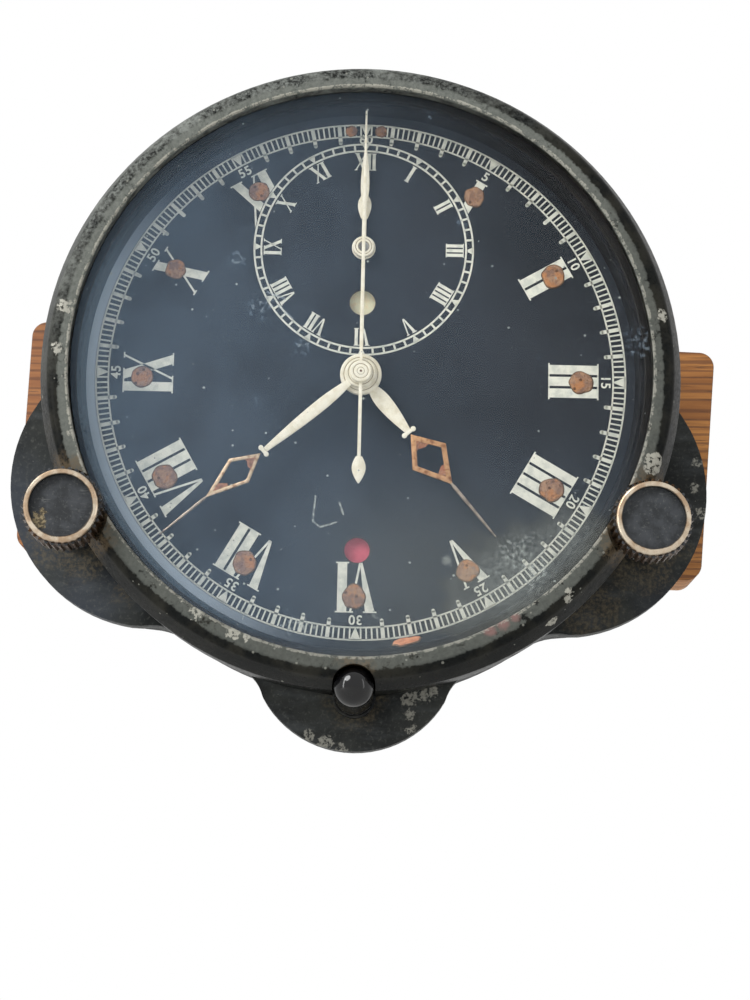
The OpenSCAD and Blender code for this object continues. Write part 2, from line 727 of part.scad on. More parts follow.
module minute_hand() color([0.87, 0.84, 0.72]) {
  hub(centre, minute_hub_r, cannon_r, minute_z, minute_hub);
  slab(centre, minute_z, minute_z + hand_t) rotate(-minute_angle) difference() {
    union() {
      leaf(1.6, minute_hand_l * 0.478, 1.95, 0.8, 0.37);
      translate([-1.05, minute_hand_l * 0.476]) square([2.1, 0.8]);
      diamond(minute_hand_l * 0.495, minute_hand_l * 0.608, minute_hand_l * 0.775, 2.45, 0.75);
      leaf(minute_hand_l * 0.765, minute_hand_l, 0.6, 0.3, 0.1);
    }
    circle(cannon_r + 0.05);
  }
}

module seconds_hand() color([0.9, 0.87, 0.76]) {
  hub(centre, seconds_hub_r, seconds_r, seconds_z, seconds_hub);
  slab(centre, seconds_z, seconds_z + hand_t * 0.8) difference() {
    union() {
      leaf(1, seconds_hand_l, 0.6, 0.3, 0.1);
      translate([-0.275, -seconds_tail_l + 3]) square([0.55, seconds_tail_l - 4]);
      mirror([0, 1]) leaf(seconds_tail_l - 4.3, seconds_tail_l, 2.2, 0.2, 0.42);
    }
    circle(seconds_r + 0.05);
  }
}

module trip_minute_hand() color([0.87, 0.84, 0.72]) {
  hub(trip, trip_minute_hub_r, trip_r, trip_minute_z, trip_minute_hub);
  slab(trip, trip_minute_z, trip_minute_z + hand_t * 0.8) difference() {
    union() {
      leaf(1, trip_minute_l * 0.6, 1.3, 0.6, 0.45);
      leaf(trip_minute_l * 0.59, trip_minute_l, 0.6, 0.3, 0.1);
    }
    circle(trip_r + 0.05);
  }
}

module trip_hour_hand() color([0.87, 0.84, 0.72]) {
  hub(trip, trip_hour_hub_r, trip_pipe_r, trip_hour_z, trip_hour_hub);
  slab(trip, trip_hour_z, trip_hour_z + hand_t * 0.8) difference() {
    union() {
      leaf(1.2, trip_hour_l * 0.75, 2.2, 0.7, 0.5);
      leaf(trip_hour_l * 0.74, trip_hour_l, 0.7, 0.3, 0.1);
    }
    circle(trip_pipe_r + 0.05);
  }
}

// Knobs and push button

knob_top = knob_z + knob_h;
module knob(p) color([0.45, 0.36, 0.22]) difference() {
  union() {
    slab(p, knob_z, knob_top - 0.9) polygon([
      for (i = [0:knob_teeth - 1])
        for (c = [[-0.32, -knurl_d], [-0.14, 0], [0.14, 0], [0.32, -knurl_d]])
          polar(knob_r + c[1], (i + c[0]) * 360 / knob_teeth)]);
    translate([p.x, p.y, 0]) rotate_extrude() polygon([
      [0, knob_top - 0.95], [knob_r - knurl_d, knob_top - 0.95], [knob_rim_r, knob_top - 0.15],
      [knob_rim_r - 0.2, knob_top], [0, knob_top]]);
  }
  rod(p, knob_recess_r, knob_top - knob_recess_d, knob_top + 1);
  rod(p, stem_r + 0.02, knob_z - 1, knob_z + knob_h * 0.6);
}

module stem(p, pinion_z, phase) {
  rod(p, stem_r, knob_z + knob_h * 0.6 - 0.1, stem_boss_top + move_clear);
  rod(p, stem_pivot_r, stem_boss_top + 1, stem_end_z);
  slab(p, pinion_z, pinion_z + rear_gear_t) gear(knob_leaves, knob_module, phase);
}

module winding_knob() knob(left_knob);
module winding_stem() color([0.6, 0.6, 0.58])
  stem(left_knob, rear_gear_z, heading(left_knob, winding));

// The setting pinion sits one travel behind its wheel until the knob is pulled
setting_phase = heading(right_knob, transfer);
collar_z = flange_back_z - 7;
collar_t = 1.5;
collar_gap = 0.1;
stem_flange_r = stem_r + 0.9;
stem_flange_t = 0.4;
module setting_knob() knob(right_knob);
module setting_stem() color([0.6, 0.6, 0.58]) {
  stem(right_knob, rear_gear_z - setting_travel, setting_phase);
  rod(right_knob, stem_flange_r, collar_z + collar_t + collar_gap,
      collar_z + collar_t + collar_gap + stem_flange_t);
  rod(right_knob, stem_flange_r, collar_z - collar_gap, collar_z - collar_gap - stem_flange_t);
}
module setting_collar() color([0.72, 0.58, 0.3])
  tube(right_knob, bush_r + 0.3, stem_r + run_clear, collar_z, collar_z + collar_t);

button_bush_r = button_r + 0.35;
button_collar_h = 0.5;
bush_floor_z = flange_back_z - 7.5;
bush_end_z = bush_floor_z - 1;
module front_bushes() color([0.3, 0.28, 0.24]) {
  for (p = [left_knob, right_knob]) difference() {
    union() {
      rod(p, bush_r, flange_back_z - 2, flange_z + 1);
      rod(p, bush_r + 0.9, flange_back_z - 2, flange_back_z);
    }
    rod(p, stem_r + run_clear, flange_back_z - 3, flange_z + 2);
  }
  difference() {
    union() {
      rod(button, button_bush_r, flange_back_z, flange_z + button_collar_h);
      rod(button, button_r + bush_wall, bush_end_z, flange_back_z);
    }
    rod(button, button_r + run_clear, bush_floor_z, flange_z + 2);
    rod(button, button_stem_r + run_clear, bush_end_z - 1, bush_floor_z + 1);
  }
}

button_end_z = bush_floor_z + button_travel + 3.2;
button_grip = 3;
bush_wall = 1.2;
stem_tip_z = rear_gear_z - 0.7;
module push_button() color([0.04, 0.04, 0.05]) difference() {
  union() {
    rod(button, button_r, button_end_z, button_top - button_r);
    translate([button.x, button.y, button_top - button_r]) rotate_extrude() intersection() {
      circle(button_r);
      square(button_r + 1);
    }
  }
  rod(button, button_stem_r + 0.02, button_end_z - 1, button_end_z + button_grip);
}

clip_t = 0.6;
module button_stem() color([0.6, 0.6, 0.58]) {
  rod(button, button_stem_r, stem_tip_z, button_end_z + button_grip - 0.1);
  rod(button, button_stem_r + 1, bush_end_z - 0.1, bush_end_z - 0.1 - clip_t);
}

// The return spring is one unbroken tube of wire with a flat-topped run of curls
spring_sides = 6;
spring_rings = 8;
spring_r = button_r - 0.35 - spring_wire / 2;
spring_low = bush_floor_z + spring_wire / 2 + 0.05;
spring_high = button_end_z - spring_wire / 2 - 0.05;
spring_steps = spring_curls * spring_rings;
spring_climb = (spring_high - spring_low) / spring_curls;
spring_points = [for (i = [0:spring_steps]) let (a = 360 * i / spring_rings)
  [spring_r * cos(a), spring_r * sin(a), spring_low + spring_climb * i / spring_rings]];
spring_gaps = [for (i = [0:spring_steps - spring_rings])
  norm(spring_points[i + spring_rings] - spring_points[i]) - spring_wire];
echo("least gap between the spring's curls:", min(spring_gaps));
module button_spring() color([0.65, 0.64, 0.6]) {
  rings = [for (i = [0:spring_steps]) for (j = [0:spring_sides - 1])
    let (a = 360 * i / spring_rings)
    let (b = 360 * j / spring_sides)
    spring_points[i] + spring_wire / 2 * [cos(b) * cos(a), cos(b) * sin(a), sin(b)]];
  skin = [for (i = [0:spring_steps - 1]) for (j = [0:spring_sides - 1]) for (half = [0, 1])
    let (k = (j + 1) % spring_sides)
    let (low = i * spring_sides)
    let (top = low + spring_sides)
    half == 0 ? [low + j, top + j, top + k] : [low + j, top + k, low + k]];
  last = spring_steps * spring_sides;
  caps = concat([for (j = [1:spring_sides - 2]) [0, j, j + 1]],
                [for (j = [1:spring_sides - 2]) [last, last + j + 1, last + j]]);
  translate([button.x, button.y, 0]) polyhedron(points = rings, faces = concat(skin, caps));
}

// The button's stem presses the tail of a lever behind the movement
lever_t = 1.2;
lever_w = 3;
lever_z = stem_tip_z - 0.1 - lever_t;
lever_arm = 8.2;
lever_tail = 1.8;
lever_l = 18;
lever_pivot = [0, button.y + lever_arm, lever_z + lever_t / 2];
lever_pin_r = 0.8;
lever_boss_r = 1.6;
module trip_lever() color([0.7, 0.6, 0.35]) difference() {
  union() {
    translate([-lever_w / 2, button.y - lever_tail, lever_z]) cube([lever_w, lever_l, lever_t]);
    translate(lever_pivot) rotate([0, 90, 0])
      cylinder(r = lever_boss_r, h = lever_w, center = true);
  }
  translate(lever_pivot) rotate([0, 90, 0])
    cylinder(r = lever_pin_r + run_clear, h = lever_w + 1, center = true);
}

module lever_bracket() color([0.6, 0.6, 0.58]) {
  cheek_t = 1;
  cheek_x = lever_w / 2 + move_clear + cheek_t / 2;
  for (s = [-1, 1])
    translate([s * cheek_x - cheek_t / 2, lever_pivot.y - lever_boss_r, floor_z])
      cube([cheek_t, 2 * lever_boss_r, lever_pivot.z + lever_boss_r - floor_z]);
  translate(lever_pivot) rotate([0, 90, 0])
    cylinder(r = lever_pin_r, h = 2 * cheek_x + cheek_t / 2, center = true);
}

// Two painted discs show through the windows and turn with the button
post_r = 0.7;
flag_hub_r = 1.5;
flag_margin = 0.25;
module flag(at, r) {
  difference() {
    union() {
      rod(at, r, flag_z, flag_z + flag_t);
      rod(at, flag_hub_r, plate_front_z + hand_clear, flag_z + flag_t);
    }
    rod(at, post_r + run_clear, plate_front_z - 1, 1);
  }
}
module trip_flag() color([0.85, 0.72, 0.48])
  flag(trip_flag_at, dist(trip_flag_at, [0, trip_window_y]) + trip_window_r + flag_margin);
module running_flag() color([0.75, 0.2, 0.28])
  flag(run_flag_at, dist(run_flag_at, [0, -run_window_y]) + run_window_r + flag_margin);

// Movement frame

module movement_ring() color([0.68, 0.55, 0.3]) difference() {
  rod(centre, dial_r, flange_z, -dial_t);
  rod(centre, ring_in_r, plate_rear_z, 0);
  rod(centre, ring_in_r - 2.6, flange_z - 1, plate_rear_z + 1);
  for (p = feet) rod(p, feet_r + run_clear, -dial_t - feet_l - 0.5, 0);
  for (a = ring_screw_angles)
    rod(polar(ring_screw_circle_r, a), plate_screw_r + run_clear, flange_z - 1, plate_rear_z + 1);
}

flag_posts = [trip_flag_at, run_flag_at];
wheel_posts = [minute_at, trip_minute_at, idler];
pivots = [third, fourth, escape, pallet];
transfer_r = 1.2;
barrel_pivot_r = 1.6;
centre_tube_r = 1.1;
module front_plate() color([0.72, 0.58, 0.32]) difference() {
  union() {
    rod(centre, plate_r, plate_rear_z, plate_front_z);
    for (p = flag_posts) rod(p, post_r, plate_front_z, flag_z + flag_t);
    for (p = wheel_posts) rod(p, post_r, plate_front_z, hour_wheel_z + hour_wheel_t);
  }
  for (p = concat(pivots, [balance_at]))
    rod(p, pivot_r + run_clear, plate_rear_z - 1, plate_front_z + 1);
  rod(centre, centre_tube_r + run_clear, plate_rear_z - 1, plate_front_z + 1);
  rod(trip, trip_r + run_clear, plate_rear_z - 1, plate_front_z + 1);
  rod(transfer, transfer_r + run_clear, plate_rear_z - 1, plate_front_z + 1);
  rod(barrel_at, barrel_pivot_r + run_clear, plate_rear_z - 1, plate_front_z + 1);
  for (a = pillar_angles)
    rod(polar(pillar_circle_r, a), pillar_r * 0.6 + 0.02, plate_rear_z - 1, plate_front_z + 1);
  for (a = ring_screw_angles)
    rod(polar(ring_screw_circle_r, a), plate_screw_r + slip_clear, plate_rear_z - 1,
        plate_front_z + 1);
}

idler_post_r = 1.2;
click_at = barrel_at + polar(12, 100);
cock_r = 3;
cock_l = 12.5;
cock_angle = 155;
cock_foot = balance_at + polar(cock_l, cock_angle);
module back_plate() color([0.72, 0.58, 0.32]) difference() {
  union() {
    rod(centre, plate_r, rear_plate_back_z, rear_plate_front_z);
    rod(winding, idler_post_r, rear_gear_z - 0.4, rear_plate_back_z);
    rod(click_at, idler_post_r, rear_gear_z - 0.4, rear_plate_back_z);
  }
  for (p = pivots)
    rod(p, pivot_r + run_clear, rear_plate_back_z - 1, rear_plate_front_z + 1);
  rod(trip, pivot_r + run_clear, rear_plate_back_z - 1, rear_plate_front_z + 1);
  rod(centre, centre_tube_r + run_clear, rear_plate_back_z - 1, rear_plate_front_z + 1);
  rod(balance_at, arbor_r + move_clear, rear_plate_back_z - 1, rear_plate_front_z + 1);
  rod(transfer, transfer_r + run_clear, rear_plate_back_z - 1, rear_plate_front_z + 1);
  rod(barrel_at, barrel_pivot_r + run_clear, rear_plate_back_z - 1, rear_plate_front_z + 1);
  for (a = pillar_angles)
    rod(polar(pillar_circle_r, a), plate_screw_r + slip_clear, rear_plate_back_z - 1,
        rear_plate_front_z + 1);
  rod(cock_foot, plate_screw_r + run_clear, rear_plate_back_z - 1, rear_plate_front_z + 1);
}

module plate_pillars() color([0.72, 0.6, 0.34])
  for (a = pillar_angles) difference() {
    union() {
      rod(polar(pillar_circle_r, a), pillar_r, rear_plate_front_z, plate_rear_z);
      rod(polar(pillar_circle_r, a), pillar_r * 0.6, plate_rear_z, plate_front_z);
    }
    rod(polar(pillar_circle_r, a), plate_screw_r + run_clear, rear_plate_front_z - 1,
        rear_plate_front_z + 5);
  }

module plate_screws() color([0.3, 0.32, 0.42]) {
  for (a = pillar_angles)
    screw(polar(pillar_circle_r, a), plate_screw_r, rear_plate_front_z + 4, rear_plate_back_z,
          0.9, 1.6);
  for (a = ring_screw_angles)
    screw(polar(ring_screw_circle_r, a), plate_screw_r, flange_z + 0.1, plate_front_z, 0.8, 1.2);
  screw(cock_foot, plate_screw_r, rear_plate_front_z - 0.1, cock_z, 0.9, 1.6);
}

// Motion work under the dial

cannon_phase = 90;
minute_phase = mesh(-68, cannon_leaves, cannon_phase, minute_teeth);
hour_phase = 90;
minute_pinion_phase = mesh(112, hour_teeth, hour_phase, cannon_leaves);
module cannon_pinion() color([0.6, 0.6, 0.58]) difference() {
  union() {
    slab(centre, cannon_z, cannon_z + cannon_t) gear(cannon_leaves, motion_module, cannon_phase);
    rod(centre, cannon_r, cannon_z, minute_z + 0.55);
  }
  rod(centre, centre_tube_r + run_clear, cannon_z - 1, minute_z + 2);
}

// A minute wheel with its pinion, on a post
module minute_work(at, phase, pinion_phase) {
  difference() {
    union() {
      slab(at, minute_wheel_z, minute_wheel_z + minute_wheel_t)
        wheel(minute_teeth, motion_module, phase, 2, 4, 1);
      slab(at, minute_wheel_z + minute_wheel_t, hour_wheel_z + hour_wheel_t)
        gear(cannon_leaves, hour_module, pinion_phase);
    }
    rod(at, post_r + run_clear, plate_front_z - 1, 0);
  }
}
module minute_wheel() color([0.75, 0.6, 0.32])
  minute_work(minute_at, minute_phase, minute_pinion_phase);

module pipe_wheel(at, phase, pipe, bore, top) {
  difference() {
    union() {
      slab(at, hour_wheel_z, hour_wheel_z + hour_wheel_t)
        wheel(hour_teeth, hour_module, phase, pipe + 0.5, 4, 1);
      rod(at, pipe, hour_wheel_z, top);
    }
    rod(at, bore, hour_wheel_z - 1, top + 1);
  }
}
module hour_wheel() color([0.75, 0.6, 0.32])
  pipe_wheel(centre, hour_phase, pipe_r, cannon_r + run_clear, hour_z + 0.55);

trip_phase = 90;
trip_wheel_teeth = 48;
trip_wheel_module = 0.25;
trip_minute_phase = mesh(180, cannon_leaves, trip_phase, minute_teeth);
module trip_arbor() color([0.6, 0.6, 0.58]) {
  rod(trip, trip_r, rear_plate_front_z + hand_clear, trip_hub_top);
  rod(trip, pivot_r, rear_plate_back_z + pivot_end, rear_plate_front_z + 1);
  slab(trip, cannon_z, cannon_z + cannon_t) gear(cannon_leaves, motion_module, trip_phase);
  slab(trip, trip_wheel_z, trip_wheel_z + wheel_t)
    wheel(trip_wheel_teeth, trip_wheel_module, trip_phase, 1.8, 4, 1);
}
module trip_minute_wheel() color([0.75, 0.6, 0.32])
  minute_work(trip_minute_at, trip_minute_phase, mesh(180, hour_teeth, hour_phase, cannon_leaves));
module trip_hour_wheel() color([0.75, 0.6, 0.32])
  pipe_wheel(trip, hour_phase, trip_pipe_r, trip_r + run_clear, trip_hour_z + 0.4);

// Setting train, from the minute wheel out to the setting stem

idler_phase = mesh(heading(minute_at, idler), minute_teeth, minute_phase, idler_teeth);
transfer_phase = mesh(heading(idler, transfer), idler_teeth, idler_phase, transfer_leaves);
transfer_wheel_phase = mesh(heading(right_knob, transfer), knob_leaves, setting_phase,
                            transfer_teeth);
module setting_idler() color([0.75, 0.6, 0.32]) difference() {
  union() {
    slab(idler, minute_wheel_z, minute_wheel_z + minute_wheel_t)
      wheel(idler_teeth, motion_module, idler_phase, 2.2, 5, 1.1);
    rod(idler, 1.5, minute_wheel_z, hour_wheel_z + hour_wheel_t);
  }
  rod(idler, post_r + run_clear, plate_front_z - 1, 0);
}
module transfer_wheel() color([0.75, 0.6, 0.32]) {
  rod(transfer, transfer_r, rear_gear_z, minute_wheel_z + minute_wheel_t);
  slab(transfer, minute_wheel_z, minute_wheel_z + minute_wheel_t)
    gear(transfer_leaves, motion_module, transfer_phase);
  slab(transfer, rear_gear_z, rear_gear_z + rear_gear_t)
    wheel(transfer_teeth, knob_module, transfer_wheel_phase, 3, 5, 1.6);
  rod(transfer, transfer_r + 0.8, rear_plate_front_z + 0.2, rear_plate_front_z + 1);
}

// Centre seconds and the going train

runner_teeth = 72;
runner_module = 0.2;
module seconds_arbor() color([0.6, 0.6, 0.58]) {
  rod(centre, seconds_r, runner_z - 0.4, seconds_z + 0.5);
  slab(centre, runner_z, runner_z + runner_t)
    wheel(runner_teeth, runner_module, 90, 1.6, 5, 0.9);
}

centre_pinion_z = barrel_z + barrel_h - barrel_teeth_h - 0.2;
module centre_wheel() color([0.75, 0.6, 0.32]) difference() {
  union() {
    rod(centre, centre_tube_r, rear_plate_back_z + pivot_end, minute_z + 0.3);
    slab(centre, centre_z, centre_z + wheel_t)
      wheel(centre_teeth, train_module, 325, 2.4, 5, 1.1);
    slab(centre, centre_pinion_z, centre_pinion_z + barrel_teeth_h + 0.6)
      gear(centre_leaves, barrel_module, 200);
    rod(centre, centre_tube_r + 0.5, rear_plate_front_z + hand_clear, centre_pinion_z);
  }
  rod(centre, seconds_r + 0.06, rear_plate_back_z - 1, minute_z + 2);
}

third_pinion_phase = mesh(325, centre_teeth, 325, train_leaves);
module third_wheel() color([0.75, 0.6, 0.32]) {
  arbor(third, arbor_r);
  slab(third, third_z, third_z + wheel_t) wheel(third_teeth, train_module, 45, 2.2, 5, 1);
  slab(third, centre_z - 0.3, centre_z + wheel_t + 0.5)
    gear(train_leaves, train_module, third_pinion_phase);
}

fourth_pinion_phase = mesh(45, third_teeth, 45, train_leaves);
module fourth_wheel() color([0.75, 0.6, 0.32]) {
  arbor(fourth, arbor_r);
  slab(fourth, fourth_z, fourth_z + wheel_t) wheel(fourth_teeth, train_module, 70, 2.2, 4, 0.9);
  slab(fourth, third_z - 0.3, third_z + wheel_t + 0.5)
    gear(train_leaves, train_module, fourth_pinion_phase);
}

escape_r = 5.2;
escape_teeth = 15;
pallet_gap = 0.4;
fork_l = 10.1;
escape_pinion_phase = mesh(70, fourth_teeth, 70, escape_leaves);
module escape_wheel() color([0.75, 0.6, 0.32]) {
  rod(escape, pivot_r, plate_front_z - pivot_end, rear_plate_back_z + pivot_end);
  rod(escape, pivot_r + 0.03, plate_rear_z - hand_clear, rear_plate_front_z + hand_clear);
  slab(escape, fourth_z - 0.3, fourth_z + wheel_t + 0.5)
    gear(escape_leaves, train_module, escape_pinion_phase);
  slab(escape, escape_z, escape_z + 0.7) difference() {
    polygon([for (i = [0:escape_teeth - 1])
      for (c = [[0, escape_r - 1.3], [10, escape_r - 0.25], [13, escape_r], [14, escape_r - 1.3]])
        polar(c[1], 112 + i * 360 / escape_teeth + c[0] - 6)]);
    for (i = [0:3]) rotate(45 + 90 * i) translate([2.4, 0]) circle(0.85);
  }
}

module pallet_lever() color([0.6, 0.6, 0.58]) {
  arbor(pallet, 0.7);
  slab(centre, escape_z - 0.05, escape_z + 0.75) {
    for (s = [-1, 1]) {
      tip = escape + polar(escape_r + pallet_gap, 112 + s * 30);
      back = escape + polar(escape_r + 1.5, 112 + s * 26);
      polygon([pallet + polar(1, 112 + s * 60), pallet + polar(1, 292), tip, back]);
    }
    translate(pallet) circle(1.2);
    translate(pallet) rotate(142.5) difference() {
      translate([0, -0.6]) square([fork_l, 1.2]);
      translate([fork_l - 1.1, -0.3]) square([2, 0.6]);
    }
  }
}

// Balance

balance_r = 8;
balance_rim = 1.2;
balance_staff_r = 0.7;
hairspring_turns = 6;
module balance_wheel() color([0.75, 0.62, 0.35]) {
  rod(balance_at, balance_staff_r, cock_z + 0.3, plate_rear_z - hand_clear);
  rod(balance_at, pivot_r, plate_rear_z - hand_clear, plate_front_z - pivot_end);
  rod(balance_at, 2, roller_z, roller_z + 0.8);
  rod(balance_at + polar(1.5, 322.5), 0.25, roller_z + 0.8, roller_z + 2.4);
  slab(balance_at, balance_z, balance_z + balance_t) {
    difference() {
      circle(balance_r);
      circle(balance_r - balance_rim);
    }
    circle(1.8);
    rotate(52) square([2 * balance_r - 1, 1.4], center = true);
  }
  for (a = [0:30:330]) translate([balance_at.x, balance_at.y, balance_z + balance_t / 2])
    rotate(a + 7) translate([balance_r - 0.1, 0, 0]) rotate([0, 90, 0]) cylinder(r = 0.45, h = 0.8);
}

// A flat spiral of strip from r0 to r1
module spiral(r0, r1, turns, w) {
  steps = turns * 24;
  path = function (side) [for (i = [0:steps])
    polar(r0 + (r1 - r0) * i / steps + side * w / 2, 15 * i)];
  out = path(1);
  inward = path(-1);
  polygon(concat(out, [for (i = [steps:-1:0]) inward[i]]));
}

module hairspring() color([0.3, 0.34, 0.5]) {
  slab(balance_at, spring_z, spring_z + 0.6) spiral(1.5, 5.6, hairspring_turns, 0.2);
  tube(balance_at, 1.5, balance_staff_r + 0.02, spring_z - 0.1, spring_z + 0.7);
}

module balance_cock() color([0.72, 0.58, 0.32]) difference() {
  union() {
    slab(centre, cock_z, cock_z + cock_t) {
      translate(balance_at) circle(cock_r);
      translate(cock_foot) circle(cock_r);
      translate(balance_at) rotate(cock_angle) translate([0, -1.8]) square([cock_l, 3.6]);
    }
    rod(cock_foot, cock_r, cock_z, rear_plate_back_z);
  }
  rod(balance_at, balance_staff_r + run_clear, cock_z - 1, cock_z + cock_t + 1);
  rod(cock_foot, plate_screw_r + run_clear, cock_z - 1, rear_plate_back_z + 1);
}

// Barrel and winding

barrel_r = 13.6;
barrel_wall = 1;
core_r = 3;
mainspring_turns = 8;
mainspring_t = 0.4;
module barrel() color([0.75, 0.6, 0.32]) {
  difference() {
    union() {
      rod(barrel_at, barrel_r, barrel_z, barrel_z + barrel_h);
      slab(barrel_at, barrel_z + barrel_h - barrel_teeth_h, barrel_z + barrel_h)
        gear(barrel_teeth, barrel_module, 20 + 180 / barrel_teeth);
    }
    rod(barrel_at, barrel_r - barrel_wall, barrel_z - 1, barrel_z + barrel_h - barrel_wall);
    rod(barrel_at, barrel_pivot_r + run_clear, barrel_z, barrel_z + barrel_h + 1);
  }
  tube(barrel_at, barrel_r - barrel_wall - 0.02, barrel_pivot_r + run_clear,
       barrel_z, barrel_z + barrel_wall * 0.8);
}

module mainspring() color([0.35, 0.37, 0.42])
  slab(barrel_at, barrel_z + 1.3, barrel_z + barrel_h - 1.3)
    spiral(4.6, barrel_r - barrel_wall - 0.25, mainspring_turns, mainspring_t);

module barrel_arbor() color([0.6, 0.6, 0.58]) {
  rod(barrel_at, barrel_pivot_r, rear_gear_z - 0.2, plate_front_z - pivot_end);
  rod(barrel_at, core_r, barrel_z + 1.1, barrel_z + barrel_h - barrel_wall - 0.1);
}

winding_phase = mesh(heading(left_knob, winding), knob_leaves, heading(left_knob, winding),
                     winding_teeth);
ratchet_phase = mesh(heading(winding, barrel_at), winding_teeth, winding_phase, ratchet_teeth);
module ratchet_wheel() color([0.6, 0.6, 0.58])
  slab(barrel_at, rear_gear_z, rear_gear_z + rear_gear_t) difference() {
    gear(ratchet_teeth, knob_module, ratchet_phase);
    circle(barrel_pivot_r + 0.02);
  }
module winding_idler() color([0.6, 0.6, 0.58])
  slab(winding, rear_gear_z, rear_gear_z + rear_gear_t) difference() {
    wheel(winding_teeth, knob_module, winding_phase, 3.4, 5, 1.8);
    circle(idler_post_r + run_clear);
  }

// The click rides just clear of the ratchet's tips
ratchet_tip_r = ratchet_teeth * knob_module / 2 + tooth_up * knob_module;
module click() color([0.3, 0.32, 0.42])
  slab(centre, rear_gear_z + 0.1, rear_gear_z + rear_gear_t - 0.1) difference() {
    union() {
      translate(click_at) circle(2.4);
      polygon([click_at + polar(2.2, 240), barrel_at + polar(ratchet_tip_r + 0.3, 62),
               barrel_at + polar(ratchet_tip_r + 1.4, 64), click_at + polar(2.2, 60)]);
    }
    translate(click_at) circle(idler_post_r + run_clear);
  }

place() front_flange();
place() gear_housing();
place() rear_cover();
place() case_screws();
place() wooden_batten();
place() batten_screws();
place() bezel();
place() bezel_screws();
place() glass();
place() glass_gasket();
place() rehaut_ring();
place() dial();
place() luminous_pips();
place() hour_hand();
place() minute_hand();
place() seconds_hand();
place() trip_minute_hand();
place() trip_hour_hand();
place() winding_knob();
place() winding_stem();
place() setting_knob();
place() setting_stem();
place() setting_collar();
place() front_bushes();
place() push_button();
place() button_stem();
place() button_spring();
place() trip_lever();
place() lever_bracket();
place() trip_flag();
place() running_flag();
place() movement_ring();
place() front_plate();
place() back_plate();
place() plate_pillars();
place() plate_screws();
place() cannon_pinion();
place() minute_wheel();
place() hour_wheel();
place() trip_arbor();
place() trip_minute_wheel();
place() trip_hour_wheel();
place() setting_idler();
place() transfer_wheel();
place() seconds_arbor();
place() centre_wheel();
place() third_wheel();
place() fourth_wheel();
place() escape_wheel();
place() pallet_lever();
place() balance_wheel();
place() hairspring();
place() balance_cock();
place() barrel();
place() mainspring();
place() barrel_arbor();
place() ratchet_wheel();
place() winding_idler();
place() click();
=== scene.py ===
import bpy, bmesh, json, math
from mathutils import Matrix, Vector
from mathutils import noise as fieldNoise


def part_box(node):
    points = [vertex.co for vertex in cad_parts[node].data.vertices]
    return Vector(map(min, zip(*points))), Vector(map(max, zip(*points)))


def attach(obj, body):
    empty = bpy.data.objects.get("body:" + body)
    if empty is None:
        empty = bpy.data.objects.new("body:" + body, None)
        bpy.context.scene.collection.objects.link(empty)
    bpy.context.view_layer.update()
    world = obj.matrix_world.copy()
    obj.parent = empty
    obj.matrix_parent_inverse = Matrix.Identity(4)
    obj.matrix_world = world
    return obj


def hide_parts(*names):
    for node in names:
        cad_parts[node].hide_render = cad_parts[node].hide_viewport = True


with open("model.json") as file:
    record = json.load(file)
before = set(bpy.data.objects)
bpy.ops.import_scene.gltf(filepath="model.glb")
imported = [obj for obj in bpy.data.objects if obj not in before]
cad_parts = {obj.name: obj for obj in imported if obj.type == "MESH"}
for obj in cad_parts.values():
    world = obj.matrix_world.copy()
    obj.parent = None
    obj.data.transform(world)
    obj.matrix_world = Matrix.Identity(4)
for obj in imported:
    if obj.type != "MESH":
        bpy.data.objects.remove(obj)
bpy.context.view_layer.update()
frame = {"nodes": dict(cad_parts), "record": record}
scene = bpy.context.scene
print("frame loaded")

# Pieces are drawn in millimetres round the clock's own axis: x right, y up, z towards the
# reader, with z = 0 on the dial's face. toWorld then puts them in the frame, in metres.
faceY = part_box("dial")[0][1]
faceDepth = faceY * 1000
upright = Matrix.Rotation(math.pi / 2, 4, "X")
toWorld = Matrix.Translation((0, faceY, 0)) @ upright @ Matrix.Scale(0.001, 4)


def frontOf(node):
    return (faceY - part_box(node)[0][1]) * 1000


def backOf(node):
    return (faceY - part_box(node)[1][1]) * 1000


def radiusOf(node):
    return (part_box(node)[1][0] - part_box(node)[0][0]) * 500


def middleOf(node):
    low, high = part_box(node)
    return Vector(((low[0] + high[0]) * 500, (low[2] + high[2]) * 500, 0))


# Camera, where the photographer stood
view = {"place": (0.002309, -0.408769, -0.088492), "turn": (100.8931, -1.1832, -0.2853), "lens": 82.8}
camera = bpy.data.objects.new("camera", bpy.data.cameras.new("camera"))
camera.location = view["place"]
camera.rotation_euler = [math.radians(a) for a in view["turn"]]
camera.data.lens = view["lens"]
camera.data.sensor_width = 36
camera.data.clip_start = 0.01
scene.collection.objects.link(camera)
scene.camera = camera
scene.view_settings.view_transform = "Standard"


# Shorthand for shader nodes. Each adds to the tree that is being built, which tree names.

def join(output, socket):
    tree.links.new(output, socket)


def fill(made, inputs):
    for key, value in inputs.items():
        if isinstance(value, bpy.types.NodeSocket):
            join(value, made.inputs[key])
        else:
            made.inputs[key].default_value = value
    return made


def addNode(kind, inputs=None, **settings):
    made = tree.nodes.new("ShaderNode" + kind)
    for key, value in settings.items():
        setattr(made, key, value)
    return fill(made, inputs or {})


def maths(operation, a, b=0.5, c=0.5):
    return addNode("Math", {0: a, 1: b, 2: c}, operation=operation).outputs[0]


def vectorMaths(operation, a, b, output="Value"):
    return addNode("VectorMath", {0: a, 1: b}, operation=operation).outputs[output]


def multiply(a, b):
    return maths("MULTIPLY", a, b)


def highest(*values):
    total = values[0]
    for value in values[1:]:
        total = maths("MAXIMUM", total, value)
    return total


def mixColour(amount, a, b):
    return addNode("Mix", {0: amount, 6: a, 7: b}, data_type="RGBA").outputs[2]


